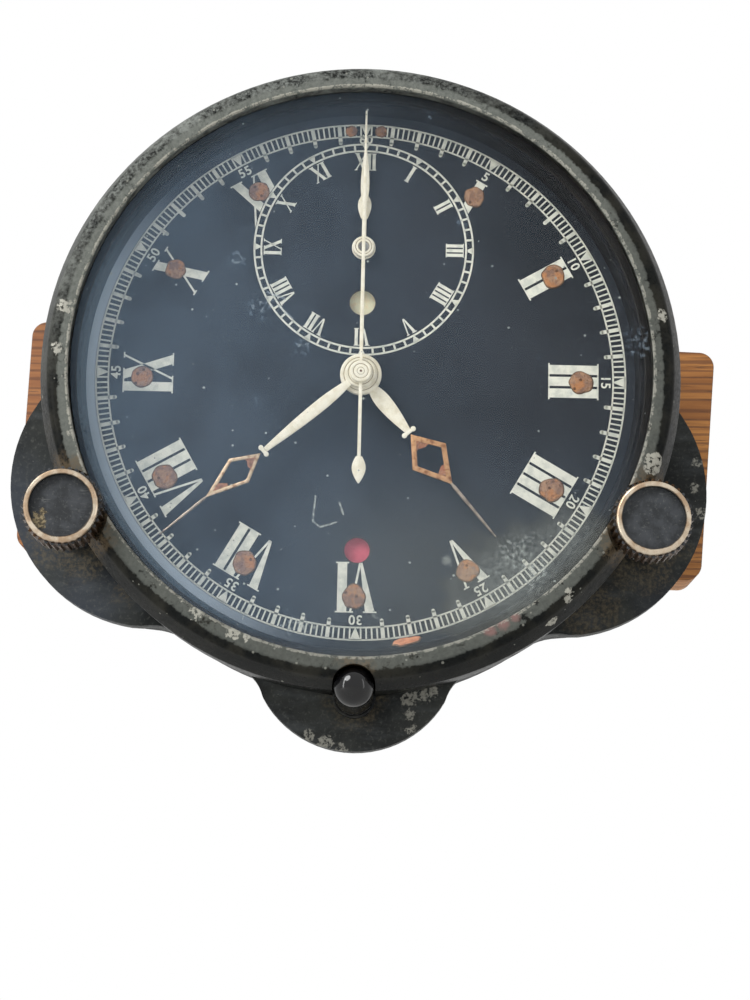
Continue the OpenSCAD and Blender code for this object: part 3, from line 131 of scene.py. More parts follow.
def cover(colour, mask, share, *over):
    # Lays a screen colour over another where the mask is, as fully as share says
    return mixColour(multiply(mask, share), colour, tint(*over))


def between(value, low, high, toLow=0.0, toHigh=1.0):
    made = addNode("MapRange", {0: value, 1: low, 2: high, 3: toLow, 4: toHigh},
                   interpolation_type="SMOOTHSTEP")
    return made.outputs[0]


def noise(vector, scale, detail=3.0, rough=0.55, distortion=0.0):
    return addNode("TexNoise", {"Vector": vector, "Scale": scale, "Detail": detail,
                                "Roughness": rough, "Distortion": distortion}).outputs[0]


def stretch(vector, scale, turn=(0, 0, 0)):
    return addNode("Mapping", {"Vector": vector, "Scale": scale, "Rotation": turn}).outputs[0]


def tint(red, green, blue):
    # A colour as a screen shows it, 0 to 255, made the linear one that shaders take
    return tuple(((c / 255 + 0.055) / 1.055) ** 2.4 if c > 10 else c / 255 / 12.92
                 for c in (red, green, blue)) + (1.0,)


def blend(value, low, high, first, second):
    return mixColour(between(value, low, high), tint(*first), tint(*second))


def newGroup(name, inputs, outputs):
    global tree
    tree = bpy.data.node_groups.new(name, "ShaderNodeTree")
    for key, value in inputs.items():
        kind = "NodeSocketVector" if value is None or isinstance(value, tuple) else "NodeSocketFloat"
        socket = tree.interface.new_socket(name=key, in_out="INPUT", socket_type=kind)
        if value is not None:
            socket.default_value = value
    for key in outputs:
        tree.interface.new_socket(name=key, in_out="OUTPUT", socket_type="NodeSocketFloat")
    return tree, tree.nodes.new("NodeGroupInput").outputs, tree.nodes.new("NodeGroupOutput").inputs


def useGroup(group, **inputs):
    made = tree.nodes.new("ShaderNodeGroup")
    made.node_tree = group
    return fill(made, inputs).outputs


# Floor, daylight and a soft key from the upper left
stage = {"floorAt": (0, -0.2, -0.13), "floorSize": 2.4, "floorColour": (236, 236, 234), "floorRough": 0.8,
         "floorGlow": 0.5, "worldDiffuse": 0.42, "worldGloss": 0.8, "sun": 2.05, "sunTurn": (42, -22, -24),
         "sunAngle": 30, "window": (0.08, 0.5), "windowAt": (0.5, -0.34, 0.12), "windowPower": (0.9, 0.27)}

world = bpy.data.worlds.new("studio")
world.use_nodes = True
tree = world.node_tree
path = addNode("LightPath")
seen = highest(path.outputs["Is Camera Ray"], path.outputs["Is Transmission Ray"])
unseen = addNode("Mix", {0: path.outputs["Is Glossy Ray"], 2: stage["worldDiffuse"],
                         3: stage["worldGloss"]}).outputs[0]
strength = addNode("Mix", {0: seen, 2: unseen, 3: 1.0}).outputs[0]
join(strength, tree.nodes["Background"].inputs["Strength"])
tree.nodes["Background"].inputs["Color"].default_value = (1, 1, 1, 1)
scene.world = world

sun = bpy.data.objects.new("key light", bpy.data.lights.new("key light", "SUN"))
sun.data.energy = stage["sun"]
sun.data.angle = math.radians(stage["sunAngle"])
sun.rotation_euler = [math.radians(a) for a in stage["sunTurn"]]
scene.collection.objects.link(sun)

for side, power in zip((-1, 1), stage["windowPower"]):
    strip = bpy.data.objects.new("window", bpy.data.lights.new("window", "AREA"))
    strip.data.energy = power
    strip.data.shape = "RECTANGLE"
    strip.data.size, strip.data.size_y = stage["window"]
    across, away, up = stage["windowAt"]
    strip.location = (side * across, away, up)
    strip.rotation_euler = (-strip.location).to_track_quat("-Z", "Y").to_euler()
    scene.collection.objects.link(strip)

floorMesh = bmesh.new()
bmesh.ops.create_grid(floorMesh, x_segments=1, y_segments=1, size=stage["floorSize"] / 2)
bmesh.ops.translate(floorMesh, verts=floorMesh.verts, vec=stage["floorAt"])
floorData = bpy.data.meshes.new("floor")
floorMesh.to_mesh(floorData)
floorMesh.free()
floor = bpy.data.objects.new("floor", floorData)
scene.collection.objects.link(floor)
floorPaint = bpy.data.materials.new("pale floor")
floorPaint.use_nodes = True
tree = floorPaint.node_tree
floorShader = tree.nodes["Principled BSDF"]
floorShader.inputs["Base Color"].default_value = tint(*stage["floorColour"])
floorShader.inputs["Roughness"].default_value = stage["floorRough"]
path = addNode("LightPath")
glow = addNode("Emission", {"Color": (1, 1, 1, 1), "Strength": stage["floorGlow"]})
added = addNode("AddShader", {0: floorShader.outputs[0], 1: glow.outputs[0]})
mixed = addNode("MixShader", {0: path.outputs["Is Camera Ray"], 1: floorShader.outputs[0],
                              2: added.outputs[0]})
join(mixed.outputs[0], tree.nodes["Material Output"].inputs["Surface"])
floorData.materials.append(floorPaint)
print("stage set")


# Effects that several finishes share. All of them read millimetres.

def makePatches():
    # Ragged patches: 1 inside, 0 outside, more of them where Edge is high
    group, given, made = newGroup("ragged patches", {"Vector": None, "Scale": 0.6, "Edge": 0.0,
                                                     "Limit": 0.6, "Soft": 0.05}, ["Mask"])
    coarse = noise(given["Vector"], given["Scale"], 5.0, 0.62)
    fine = noise(given["Vector"], multiply(given["Scale"], 3.7), 3.0, 0.6)
    field = maths("MULTIPLY_ADD", fine, 0.4, multiply(coarse, 0.6))
    field = maths("ADD", field, given["Edge"])
    high = maths("ADD", given["Limit"], given["Soft"])
    join(between(field, given["Limit"], high), made["Mask"])
    return group


def makeSpot():
    # One soft or ragged spot round a place on the clock. Push makes its border uneven.
    group, given, made = newGroup("spot", {"Vector": None, "Place": (0.0, 0.0, 0.0), "Size": 5.0,
                                           "Push": 0.0, "Soft": 1.0}, ["Mask"])
    away = vectorMaths("DISTANCE", given["Vector"], given["Place"])
    field = maths("ADD", away, given["Push"])
    low = maths("SUBTRACT", given["Size"], given["Soft"])
    join(between(field, low, given["Size"], 1.0, 0.0), made["Mask"])
    return group


def makeSpecks():
    # Small round specks, of which only a share is kept
    group, given, made = newGroup("specks", {"Vector": None, "Scale": 1.0, "Size": 0.15, "Share": 0.3},
                                  ["Mask"])
    cells = addNode("TexVoronoi", {"Vector": given["Vector"], "Scale": given["Scale"]})
    pick = addNode("SeparateColor", {0: cells.outputs["Color"]})
    radius = multiply(given["Size"], pick.outputs[1])
    inside = maths("LESS_THAN", cells.outputs["Distance"], radius)
    kept = maths("LESS_THAN", pick.outputs[0], given["Share"])
    join(multiply(inside, kept), made["Mask"])
    return group


def makeScratches():
    # Thin lines along the middle values of a stretched noise, in two directions
    group, given, made = newGroup("fine scratches", {"Vector": None, "Width": 0.01}, ["Mask"])
    lines = []
    for turn, scale in ((0.6, 0.5), (-0.9, 0.37)):
        turned = stretch(given["Vector"], (0.06, 1, 1), (0, turn, 0))
        off = maths("ABSOLUTE", maths("SUBTRACT", noise(turned, scale, 2.0, 0.4), 0.5))
        line = maths("LESS_THAN", off, given["Width"])
        where = between(noise(given["Vector"], 0.08 + 0.02 * scale, 2.0), 0.52, 0.62)
        lines.append(multiply(line, where))
    join(highest(*lines), made["Mask"])
    return group


def makeThread():
    # A straight mark from one place to another
    group, given, made = newGroup("thread", {"Vector": None, "From": (0.0, 0.0, 0.0),
                                             "To": (1.0, 0.0, 0.0), "Width": 0.1}, ["Mask"])
    along = vectorMaths("SUBTRACT", given["To"], given["From"], "Vector")
    away = vectorMaths("SUBTRACT", given["Vector"], given["From"], "Vector")
    reach = vectorMaths("DOT_PRODUCT", away, along)
    whole = vectorMaths("DOT_PRODUCT", along, along)
    share = addNode("Math", {0: reach, 1: whole}, operation="DIVIDE", use_clamp=True).outputs[0]
    nearest = addNode("VectorMath", {0: along, 3: share}, operation="SCALE").outputs[0]
    gap = vectorMaths("DISTANCE", away, nearest)
    join(between(gap, multiply(given["Width"], 0.5), given["Width"], 1.0, 0.0), made["Mask"])
    return group


def makeRound():
    # Distance from the clock's axis, height above the dial, and the way across and up
    group, given, made = newGroup("round place", {"Vector": None}, ["Radius", "Height", "Across", "Up"])
    parts = addNode("SeparateXYZ", {0: given["Vector"]})
    flat = addNode("CombineXYZ", {0: parts.outputs[0], 1: parts.outputs[2]})
    length = addNode("VectorMath", {0: flat.outputs[0]}, operation="LENGTH")
    join(length.outputs["Value"], made["Radius"])
    join(maths("SUBTRACT", faceDepth, parts.outputs[1]), made["Height"])
    join(parts.outputs[0], made["Across"])
    join(parts.outputs[2], made["Up"])
    return group


patches = makePatches()
spot = makeSpot()
specks = makeSpecks()
scratches = makeScratches()
thread = makeThread()
roundPlace = makeRound()


def patched(mm, scale, limit, soft, edge=0.0):
    return useGroup(patches, Vector=mm, Scale=scale, Edge=edge, Limit=limit, Soft=soft)[0]


def specked(mm, scale, size, share):
    return useGroup(specks, Vector=mm, Scale=scale, Size=size, Share=share)[0]


def onFront(x, y, z=0.0):
    # A place in clock millimetres, as the materials' Object coordinates have it
    return (x, faceDepth - z, y)


def startMaterial(name, colour=(0.5, 0.5, 0.5, 1), rough=0.5, metal=0.0, **sockets):
    global tree
    made = bpy.data.materials.new(name)
    made.use_nodes = True
    tree = made.node_tree
    shader = tree.nodes["Principled BSDF"]
    shader.inputs["Base Color"].default_value = colour
    shader.inputs["Roughness"].default_value = rough
    shader.inputs["Metallic"].default_value = metal
    for key, value in sockets.items():
        shader.inputs[key.replace("_", " ")].default_value = value
    coords = addNode("TexCoord")
    return made, shader, stretch(coords.outputs["Object"], (1000, 1000, 1000))


def surface(shader, colour, field, low, high):
    # Colour, and a roughness that runs from low to high with a noise
    join(colour, shader.inputs["Base Color"])
    join(between(field, 0.3, 0.7, low, high), shader.inputs["Roughness"])


def bump(shader, height, strength, distance=0.0001):
    made = addNode("Bump", {"Height": height, "Strength": strength, "Distance": distance})
    join(made.outputs[0], shader.inputs["Normal"])


def spots(mm, places, ragged=2.0, soft=1.0, grain=0.5):
    uneven = maths("SUBTRACT", noise(mm, grain, 4.0, 0.62), 0.5)
    push = multiply(uneven, ragged)
    made = [useGroup(spot, Vector=mm, Place=onFront(x, y, z), Size=size, Push=push, Soft=soft)[0]
            for x, y, z, size in places]
    return highest(*made)


# Finishes

glassTop = frontOf("glass")
bezelWearAndLight = {
    "knobs": [(-45.1, -24.2, 8, 10.2), (45.1, -24.2, 8, 9.8), (0, -47.5, 8, 3.6)],
    "chips": [(-24.2, -39.6, 8.4, 1.0), (-18.6, -42.5, 8.4, 1.0), (-26.6, -37.9, 8.4, 0.5),
              (-16.4, -43.3, 8.4, 0.6), (45.9, -14.7, 8.4, 1.9), (47.2, -14.2, 8.2, 1.0),
              (47.2, 9.0, 8.6, 1.1), (30.7, -40.0, 6, 1.3), (33.1, -36.4, 8.6, 1.2),
              (32.3, -34.9, 8.6, 0.6), (41.6, -16.9, 8.4, 1.2), (-46.6, 8.5, 8.6, 1.3),
              (-47.5, 1.5, 8.6, 1.0), (-44.3, -11.8, 8.6, 1.0)],
    "scuff": [(20.6, -41.3, 8.4, 1.3), (22.6, -40.3, 8.4, 1.3), (24.4, -39.2, 8.4, 1.0)],
    # lightWay points to the upper left, where the painted sheen is laid on
    "lightWay": (-0.009, 0.0, 0.0175)
}


def bezelFinish():
    # Black enamel, mottled, with dust and a painted sheen at the upper left, darkened with painted shade
    # and glossier below, rubbed bare round the lip
    made, shader, mm = startMaterial("worn bezel enamel", Specular_IOR_Level=0.06)
    place = useGroup(roundPlace, Vector=mm)
    mottle = noise(mm, 0.22, 4.0, 0.6)
    fine = noise(mm, 1.7, 5.0, 0.68)
    colour = blend(mottle, 0.36, 0.66, (18, 20, 20), (40, 39, 34))
    # Painted shade: the lower flank of the moulding is darkened towards the bottom
    low = multiply(between(place["Up"], -4, -34), between(place["Height"], 7.6, 5.6))
    colour = cover(colour, low, 0.8, 10, 12, 12)
    # Painted sheen: a pale grey, speckled like dust, laid on where the moulding faces the upper left
    lit = vectorMaths("DOT_PRODUCT", mm, bezelWearAndLight["lightWay"])
    dustAndPaintedLight = between(lit, 0.29, 0.95, 0.02, 0.86)
    speckled = highest(between(fine, 0.34, 0.74),
                       multiply(between(mottle, 0.42, 0.62), between(fine, 0.2, 0.62)))
    dustAndPaintedLight = multiply(dustAndPaintedLight, speckled)
    colour = mixColour(dustAndPaintedLight, colour, tint(143, 147, 142))
    inwards = maths("SUBTRACT", place["Radius"], between(place["Up"], 10, -30, 0.0, 0.6))
    onLip = multiply(between(inwards, 47.8, 46.9), between(place["Height"], 7.0, 8.1))
    amount = between(place["Up"], -44, -8, 0.6, 1.0)
    amount = multiply(amount, between(place["Across"], 28, 47, 1.0, 0.6))
    rubbed = patched(mm, 0.4, 0.6, 0.12, multiply(onLip, 0.26))
    rubbed = multiply(multiply(rubbed, onLip), amount)
    lipColour = mixColour(fine, tint(84, 88, 84), tint(140, 143, 136))
    colour = mixColour(multiply(rubbed, 0.86), colour, lipColour)
    corner = multiply(between(place["Radius"], 46.4, 46.1), between(place["Height"], 7.8, 8.15))
    edge = maths("MULTIPLY_ADD", corner, 0.2, multiply(onLip, 0.05))
    bare = patched(mm, 0.9, 0.7, 0.07, edge)
    bare = multiply(bare, amount)
    chips = multiply(spots(mm, bezelWearAndLight["chips"], 2.8, 0.25, 1.1), between(fine, 0.4, 0.5))
    scuff = spots(mm, bezelWearAndLight["scuff"], 1.2, 0.8, 0.8)
    colour = cover(colour, scuff, 0.6, 150, 112, 108)
    brown = multiply(spots(mm, bezelWearAndLight["knobs"], 7.0, 3.0, 0.35), between(fine, 0.34, 0.58))
    colour = cover(colour, brown, 0.6, 116, 100, 78)
    allBare = highest(bare, chips)
    metal = mixColour(fine, tint(140, 138, 128), tint(204, 202, 190))
    colour = mixColour(multiply(allBare, 0.88), colour, metal)
    dots = specked(mm, 0.9, 0.24, 0.16)
    colour = cover(colour, dots, 0.5, 160, 160, 150)
    join(colour, shader.inputs["Base Color"])
    join(multiply(allBare, 0.3), shader.inputs["Metallic"])
    rough = between(fine, 0.3, 0.75, 0.24, 0.5)
    join(maths("ADD", rough, multiply(highest(dustAndPaintedLight, rubbed), 0.4)), shader.inputs["Roughness"])
    bump(shader, maths("SUBTRACT", multiply(fine, 0.5), allBare), 0.5, 0.00006)
    return made


castingWear = {
    "chips": [(9.0, -50.6, -8, 1.3), (10.8, -49.6, -8, 1.4), (8.7, -53.0, -8, 0.9),
              (12.3, -49.0, -8, 1.1), (9.3, -55.0, -8, 0.8), (-7.0, -56.4, -8, 1.1),
              (-4.6, -57.6, -8, 1.4), (-2.0, -58.4, -8, 1.0), (8.6, -48.6, -8, 0.7),
              (13.8, -47.6, -8, 0.8), (54.8, -11.2, -8, 0.8), (54.3, -15.4, -8, 0.9),
              (55.6, -19.4, -8, 1.1), (57.3, -22.4, -8, 0.8), (58.3, -27.5, -8, 0.9)],
    "brown": [(-45.1, -24.2, -8, 9.5), (45.1, -24.2, -8, 9.5), (0, -50.2, -8, 6.0),
              (37.5, -34.7, -8, 6.0), (-36.5, -33.5, -8, 4.0)],
    "blue": [(-54, -22, -8, 14), (-44, -38, -8, 12), (50, -34, -8, 8)]
}


def castingFinish(name, dark, pale, edgeGain, marked=True):
    # Painted casting, cloudy and dull, with metal showing along its corners
    made, shader, mm = startMaterial(name, Specular_IOR_Level=0.16)
    mottle = noise(mm, 0.11, 4.0, 0.6)
    fine = noise(mm, 1.5, 5.0, 0.68)
    colour = blend(mottle, 0.38, 0.64, dark, pale)
    if marked:
        bluish = spots(mm, castingWear["blue"], 12.0, 12.0, 0.12)
        colour = cover(colour, bluish, 0.6, 66, 72, 82)
    smear = noise(stretch(mm, (0.3, 1, 1), (0, 0.5, 0)), 0.35, 4.0, 0.6)
    colour = cover(colour, between(smear, 0.5, 0.74), 0.35, 88, 92, 94)
    colour = cover(colour, between(fine, 0.5, 0.72), 0.3, 116, 118, 112)
    edge = multiply(addNode("Attribute", attribute_name="edge").outputs["Fac"], edgeGain)
    bare = patched(mm, 0.55, 0.66, 0.05, edge)
    if marked:
        flaked = spots(mm, castingWear["chips"], 3.4, 0.3, 0.9)
        bare = highest(bare, multiply(flaked, between(fine, 0.42, 0.52)))
        brown = spots(mm, castingWear["brown"], 8.0, 3.0, 0.3)
        brown = multiply(brown, between(fine, 0.4, 0.6))
        colour = cover(colour, brown, 0.42, 104, 92, 70)
    metal = mixColour(fine, tint(112, 112, 104), tint(178, 176, 166))
    colour = mixColour(multiply(bare, 0.85), colour, metal)
    dots = specked(mm, 0.7, 0.2, 0.14)
    colour = cover(colour, dots, 0.55, 160, 160, 150)
    join(colour, shader.inputs["Base Color"])
    join(multiply(bare, 0.3), shader.inputs["Metallic"])
    join(between(fine, 0.3, 0.75, 0.36, 0.64), shader.inputs["Roughness"])
    bump(shader, maths("SUBTRACT", multiply(fine, 0.6), bare), 0.55, 0.00008)
    return made


def metalFinish(name, colour, dirt, rough=0.35, streaks=0.3, scale=0.4):
    # Turned or brushed metal with dirt in its mottling
    made, shader, mm = startMaterial(name, metal=1.0)
    mottle = noise(mm, scale, 4.0)
    streak = noise(stretch(mm, (0.4, 4, 4)), 2.5, 3.0)
    mixed = blend(mottle, 0.42, 0.7, colour, dirt)
    mixed = cover(mixed, streak, streaks, *dirt)
    surface(shader, mixed, mottle, rough - 0.08, rough + 0.15)
    bump(shader, streak, 0.2, 0.00003)
    return made


def paintFinish(name, colour, worn, marks, rough=0.6, limit=0.58, scale=0.8, bumpDepth=0.00003):
    # Brushed-on or printed paint: uneven, with small worn marks
    made, shader, mm = startMaterial(name, Specular_IOR_Level=0.3)
    mottle = noise(mm, scale, 4.0)
    mixed = blend(mottle, 0.4, 0.66, colour, worn)
    gone = patched(mm, scale * 3, limit, 0.06)
    mixed = cover(mixed, gone, 0.75, *marks)
    surface(shader, mixed, mottle, rough - 0.1, rough + 0.1)
    bump(shader, maths("SUBTRACT", noise(mm, scale * 5, 3.0), gone), 0.4, bumpDepth)
    return made


# The way towards the painted reflection on the dial and the rehaut ring, at the lower left
dialLightWay = (-0.0215, 0.0, -0.007)


def dialFinish():
    # Matt blue-black, with fine dust, pale flecks and a painted reflection: a pale bluish band along its
    # edge at the lower left
    made, shader, mm = startMaterial("blue-black dial", Specular_IOR_Level=0.12)
    place = useGroup(roundPlace, Vector=mm)
    cloud = noise(mm, 0.05, 4.0, 0.6)
    fine = noise(mm, 1.6, 4.0, 0.62)
    colour = blend(cloud, 0.35, 0.68, (26, 32, 39), (40, 46, 54))
    colour = cover(colour, between(fine, 0.4, 0.7), 0.3, 70, 78, 86)
    # Painted reflection: a pale bluish band at the dial's edge, strongest at the lower left
    lit = vectorMaths("DOT_PRODUCT", mm, dialLightWay)
    border = multiply(between(place["Radius"], 42.15, 42.6), between(lit, 0.4, 0.88))
    colour = cover(colour, border, 0.9, 192, 206, 218)
    fleck = specked(mm, 0.42, 0.14, 0.22)
    dust = specked(mm, 1.5, 0.25, 0.12)
    colour = cover(colour, fleck, 0.3, 150, 156, 158)
    colour = cover(colour, dust, 0.2, 140, 146, 150)
    surface(shader, colour, fine, 0.6, 0.74)
    return made


def ringFinish():
    # Matt black, with a painted bluish reflection, speckled like dust, where the ring faces the daylight at
    # the lower left
    made, shader, mm = startMaterial("matt black ring", Specular_IOR_Level=0.12)
    mottle = noise(mm, 0.3, 4.0)
    fine = noise(mm, 1.3, 4.0, 0.62)
    colour = blend(mottle, 0.4, 0.66, (15, 18, 22), (25, 29, 34))
    # Painted reflection: bluish pale colour towards the lower left, broken up like dust
    lit = vectorMaths("DOT_PRODUCT", mm, dialLightWay)
    dustAndPaintedLight = multiply(between(lit, 0.48, 0.92, 0.0, 0.8), between(fine, 0.3, 0.66, 0.5, 1.0))
    colour = mixColour(dustAndPaintedLight, colour, tint(100, 118, 130))
    worn = patched(mm, 0.9, 0.66, 0.06)
    colour = cover(colour, worn, 0.6, 66, 70, 74)
    surface(shader, colour, fine, 0.44, 0.62)
    bump(shader, fine, 0.2, 0.00002)
    return made


def pipFinish(name, pale, warm, grey, pit):
    # Perished luminous paint: tan, orange and grey patches with small dark pits
    made, shader, mm = startMaterial(name, Specular_IOR_Level=0.2)
    patchy = noise(mm, 0.8, 3.0, 0.6)
    fine = noise(mm, 2.6, 4.0, 0.65)
    colour = blend(patchy, 0.38, 0.62, pale, grey)
    glowing = between(noise(stretch(mm, (1, 1, 1), (0, 0.8, 0)), 0.5, 2.0), 0.48, 0.62)
    colour = cover(colour, glowing, 0.85, *warm)
    colour = cover(colour, between(fine, 0.52, 0.68), 0.55, *pit)
    pits = specked(mm, 1.0, 0.3, 0.5)
    colour = cover(colour, pits, 0.75, *pit)
    surface(shader, colour, fine, 0.7, 0.86)
    bump(shader, maths("SUBTRACT", fine, pits), 0.5, 0.0001)
    return made


def woodFinish():
    # Waxed oak: long grain along the batten, dark pores and a few growth lines
    made, shader, mm = startMaterial("waxed oak", Coat_Weight=0.12, Coat_Roughness=0.4)
    along = stretch(mm, (0.022, 0.5, 0.42), (0, 0.026, 0))
    grain = noise(along, 1.0, 6.0, 0.62, 0.8)
    rings = addNode("TexWave", {"Vector": along, "Scale": 0.5, "Distortion": 5.0, "Detail": 3.0,
                                "Detail Scale": 1.2}, bands_direction="Z").outputs["Fac"]
    pores = noise(stretch(mm, (0.14, 3.0, 3.0), (0, 0.026, 0)), 1.0, 2.0, 0.5)
    place = useGroup(roundPlace, Vector=mm)
    colour = blend(grain, 0.3, 0.72, (206, 140, 70), (146, 90, 40))
    leftEnd = between(place["Across"], -40, -55, 0.0, 0.45)
    colour = mixColour(leftEnd, colour, tint(120, 66, 50))
    colour = cover(colour, between(rings, 0.6, 0.95), 0.6, 92, 52, 30)
    pore = between(pores, 0.6, 0.68)
    colour = cover(colour, pore, 0.55, 66, 40, 24)
    worn = addNode("Attribute", attribute_name="edge").outputs["Fac"]
    colour = cover(colour, worn, 0.45, 96, 64, 40)
    surface(shader, colour, grain, 0.5, 0.66)
    bump(shader, maths("SUBTRACT", grain, pore), 0.4, 0.0001)
    return made


# recess sizes the painted shade just inside the rim; the last entry gives the heights of the painted shade
# on the recess wall
knobWearAndShade = {"face": (45.12, -24.19, 13.2), "rim": (5.85, 0.5, 0.2), "recess": (5.05, 0.4, 0.15),
            "crumb": [(-48.5, -26.5, 12.4, 1.4), (-48.0, -25.2, 12.4, 0.7)], "recessShade": (12.46, 12.56)}


def knobFinish():
    # Bronze that handling has kept bright on its rim and left brown in the milling, with painted shade
    # inside the rim
    made, shader, mm = startMaterial("handled bronze", metal=0.85)
    place = useGroup(roundPlace, Vector=mm)
    fine = noise(mm, 1.8, 4.0, 0.6)
    across, up, high = knobWearAndShade["face"]
    onFace, inner = [spots(mm, [(side * across, up, high, size) for side in (-1, 1)], ragged, soft)
                     for size, ragged, soft in (knobWearAndShade["rim"], knobWearAndShade["recess"])]
    bright = multiply(onFace, between(place["Height"], 12.3, 12.9))
    colour = blend(fine, 0.35, 0.66, (96, 70, 46), (50, 38, 28))
    polished = blend(noise(mm, 0.35, 3.0), 0.38, 0.62, (226, 212, 190), (190, 164, 136))
    colour = mixColour(multiply(bright, 0.92), colour, polished)
    # Painted shade: the bronze inside the rim, down into the recess, is darkened
    colour = cover(colour, inner, 0.85, 30, 26, 22)
    spotted = patched(mm, 1.6, 0.6, 0.06)
    colour = cover(colour, spotted, 0.45, 88, 60, 38)
    surface(shader, colour, fine, 0.26, 0.46)
    bump(shader, fine, 0.3, 0.00004)
    return made


def knobFaceFinish():
    # The sunk face keeps its black paint, scuffed grey, with a crumb of old polish in a corner and painted
    # shade on the wall of its recess
    made, shader, mm = startMaterial("scuffed knob face", Specular_IOR_Level=0.4)
    mottle = noise(mm, 0.5, 5.0, 0.62)
    fine = noise(mm, 2.6, 4.0, 0.62)
    colour = blend(mottle, 0.36, 0.66, (34, 37, 40), (58, 61, 65))
    colour = cover(colour, between(fine, 0.55, 0.72), 0.35, 112, 114, 110)
    crumb = spots(mm, knobWearAndShade["crumb"], 2.6, 0.4, 1.2)
    crumbColour = blend(fine, 0.44, 0.58, (74, 64, 44), (156, 140, 106))
    colour = mixColour(multiply(crumb, 0.85), colour, crumbColour)
    line = useGroup(scratches, Vector=stretch(mm, (3, 3, 3)), Width=0.008)[0]
    colour = cover(colour, line, 0.22, 140, 142, 140)
    # Painted shade: the upper part of the recess wall is darkened nearly to black
    recessShade = between(useGroup(roundPlace, Vector=mm)["Height"], *knobWearAndShade["recessShade"])
    colour = cover(colour, recessShade, 0.85, 12, 12, 13)
    surface(shader, colour, fine, 0.46, 0.66)
    bump(shader, mottle, 0.25, 0.00004)
    return made


def glossBlackFinish():
    made, shader, mm = startMaterial("polished black", rough=0.1, Specular_IOR_Level=0.5)
    cloud = noise(mm, 0.6, 3.0)
    join(mixColour(cloud, tint(4, 4, 6), tint(12, 12, 14)), shader.inputs["Base Color"])
    line = useGroup(scratches, Vector=stretch(mm, (2, 2, 2)), Width=0.006)[0]
    join(maths("MULTIPLY_ADD", line, 0.25, between(cloud, 0.3, 0.7, 0.04, 0.1)),
         shader.inputs["Roughness"])
    bump(shader, noise(mm, 0.9, 2.0), 0.2, 0.00008)
    return made


def glassFinish():
    # Clear to lamps and to scattered light, so that the dial behind is lit as it is in air
    made, shader, mm = startMaterial("clock glass", (1, 1, 1, 1), 0.0, 0.0, Transmission_Weight=1.0,
                                     IOR=1.2)
    faintTint = mixColour(noise(mm, 0.05, 1.0), (0.985, 0.99, 0.99, 1), (1, 1, 1, 1))
    join(faintTint, shader.inputs["Base Color"])
    path = addNode("LightPath")
    through = highest(path.outputs["Is Shadow Ray"], path.outputs["Is Diffuse Ray"])
    clear = addNode("BsdfTransparent")
    mixed = addNode("MixShader", {0: through, 1: shader.outputs[0], 2: clear.outputs[0]})
    join(mixed.outputs[0], tree.nodes["Material Output"].inputs["Surface"])
    return made


grime = {
    "cloud": [(25, -34, 6, 11), (33, -27, 6, 8), (17, -38, 6, 6)],
    "smears": [(-8.4, -41.6, 6, 3.2), (-10.2, -40.2, 6, 2.2), (43.9, 5.5, 6, 3.2),
               (24.5, -28.7, 6, 3.4), (27.5, -32.2, 6, 3.0), (9.9, 42.4, 6, 1.6),
               (-15.8, 9.6, 6, 3.0), (-19.8, 17.2, 6, 2.2),
               (-9.2, 3.4, 6, 2.0), (15.6, 24.6, 6, 1.8), (-16.2, -5.6, 6, 1.5), (2.6, -39.0, 6, 1.2),
               (43.5, 20.5, 6, 1.5), (-39.5, -21.5, 6, 2.0), (27.6, -26.4, 6, 1.4)],
    "dots": [(13.9, -30.3, 6, 1.1), (27.9, 2.2, 6, 0.5), (-20.6, -3.0, 6, 0.45), (-33.4, 18.4, 6, 0.5),
             (33.0, -3.2, 6, 0.6), (22.5, 13.4, 6, 0.4), (-5.5, -12.2, 6, 0.4), (21.0, -9.0, 6, 0.45)],
    "lines": [((-6.6, -20.6), (-6.9, -24.6)), ((-6.9, -24.6), (-5.8, -25.5)),
              ((-5.8, -25.5), (-3.3, -24.7)), ((-2.9, -21.4), (-2.2, -23.4)),
              ((-13.2, 9.8), (-11.0, 7.9)), ((-15.0, 12.0), (-12.2, 11.0))]
}


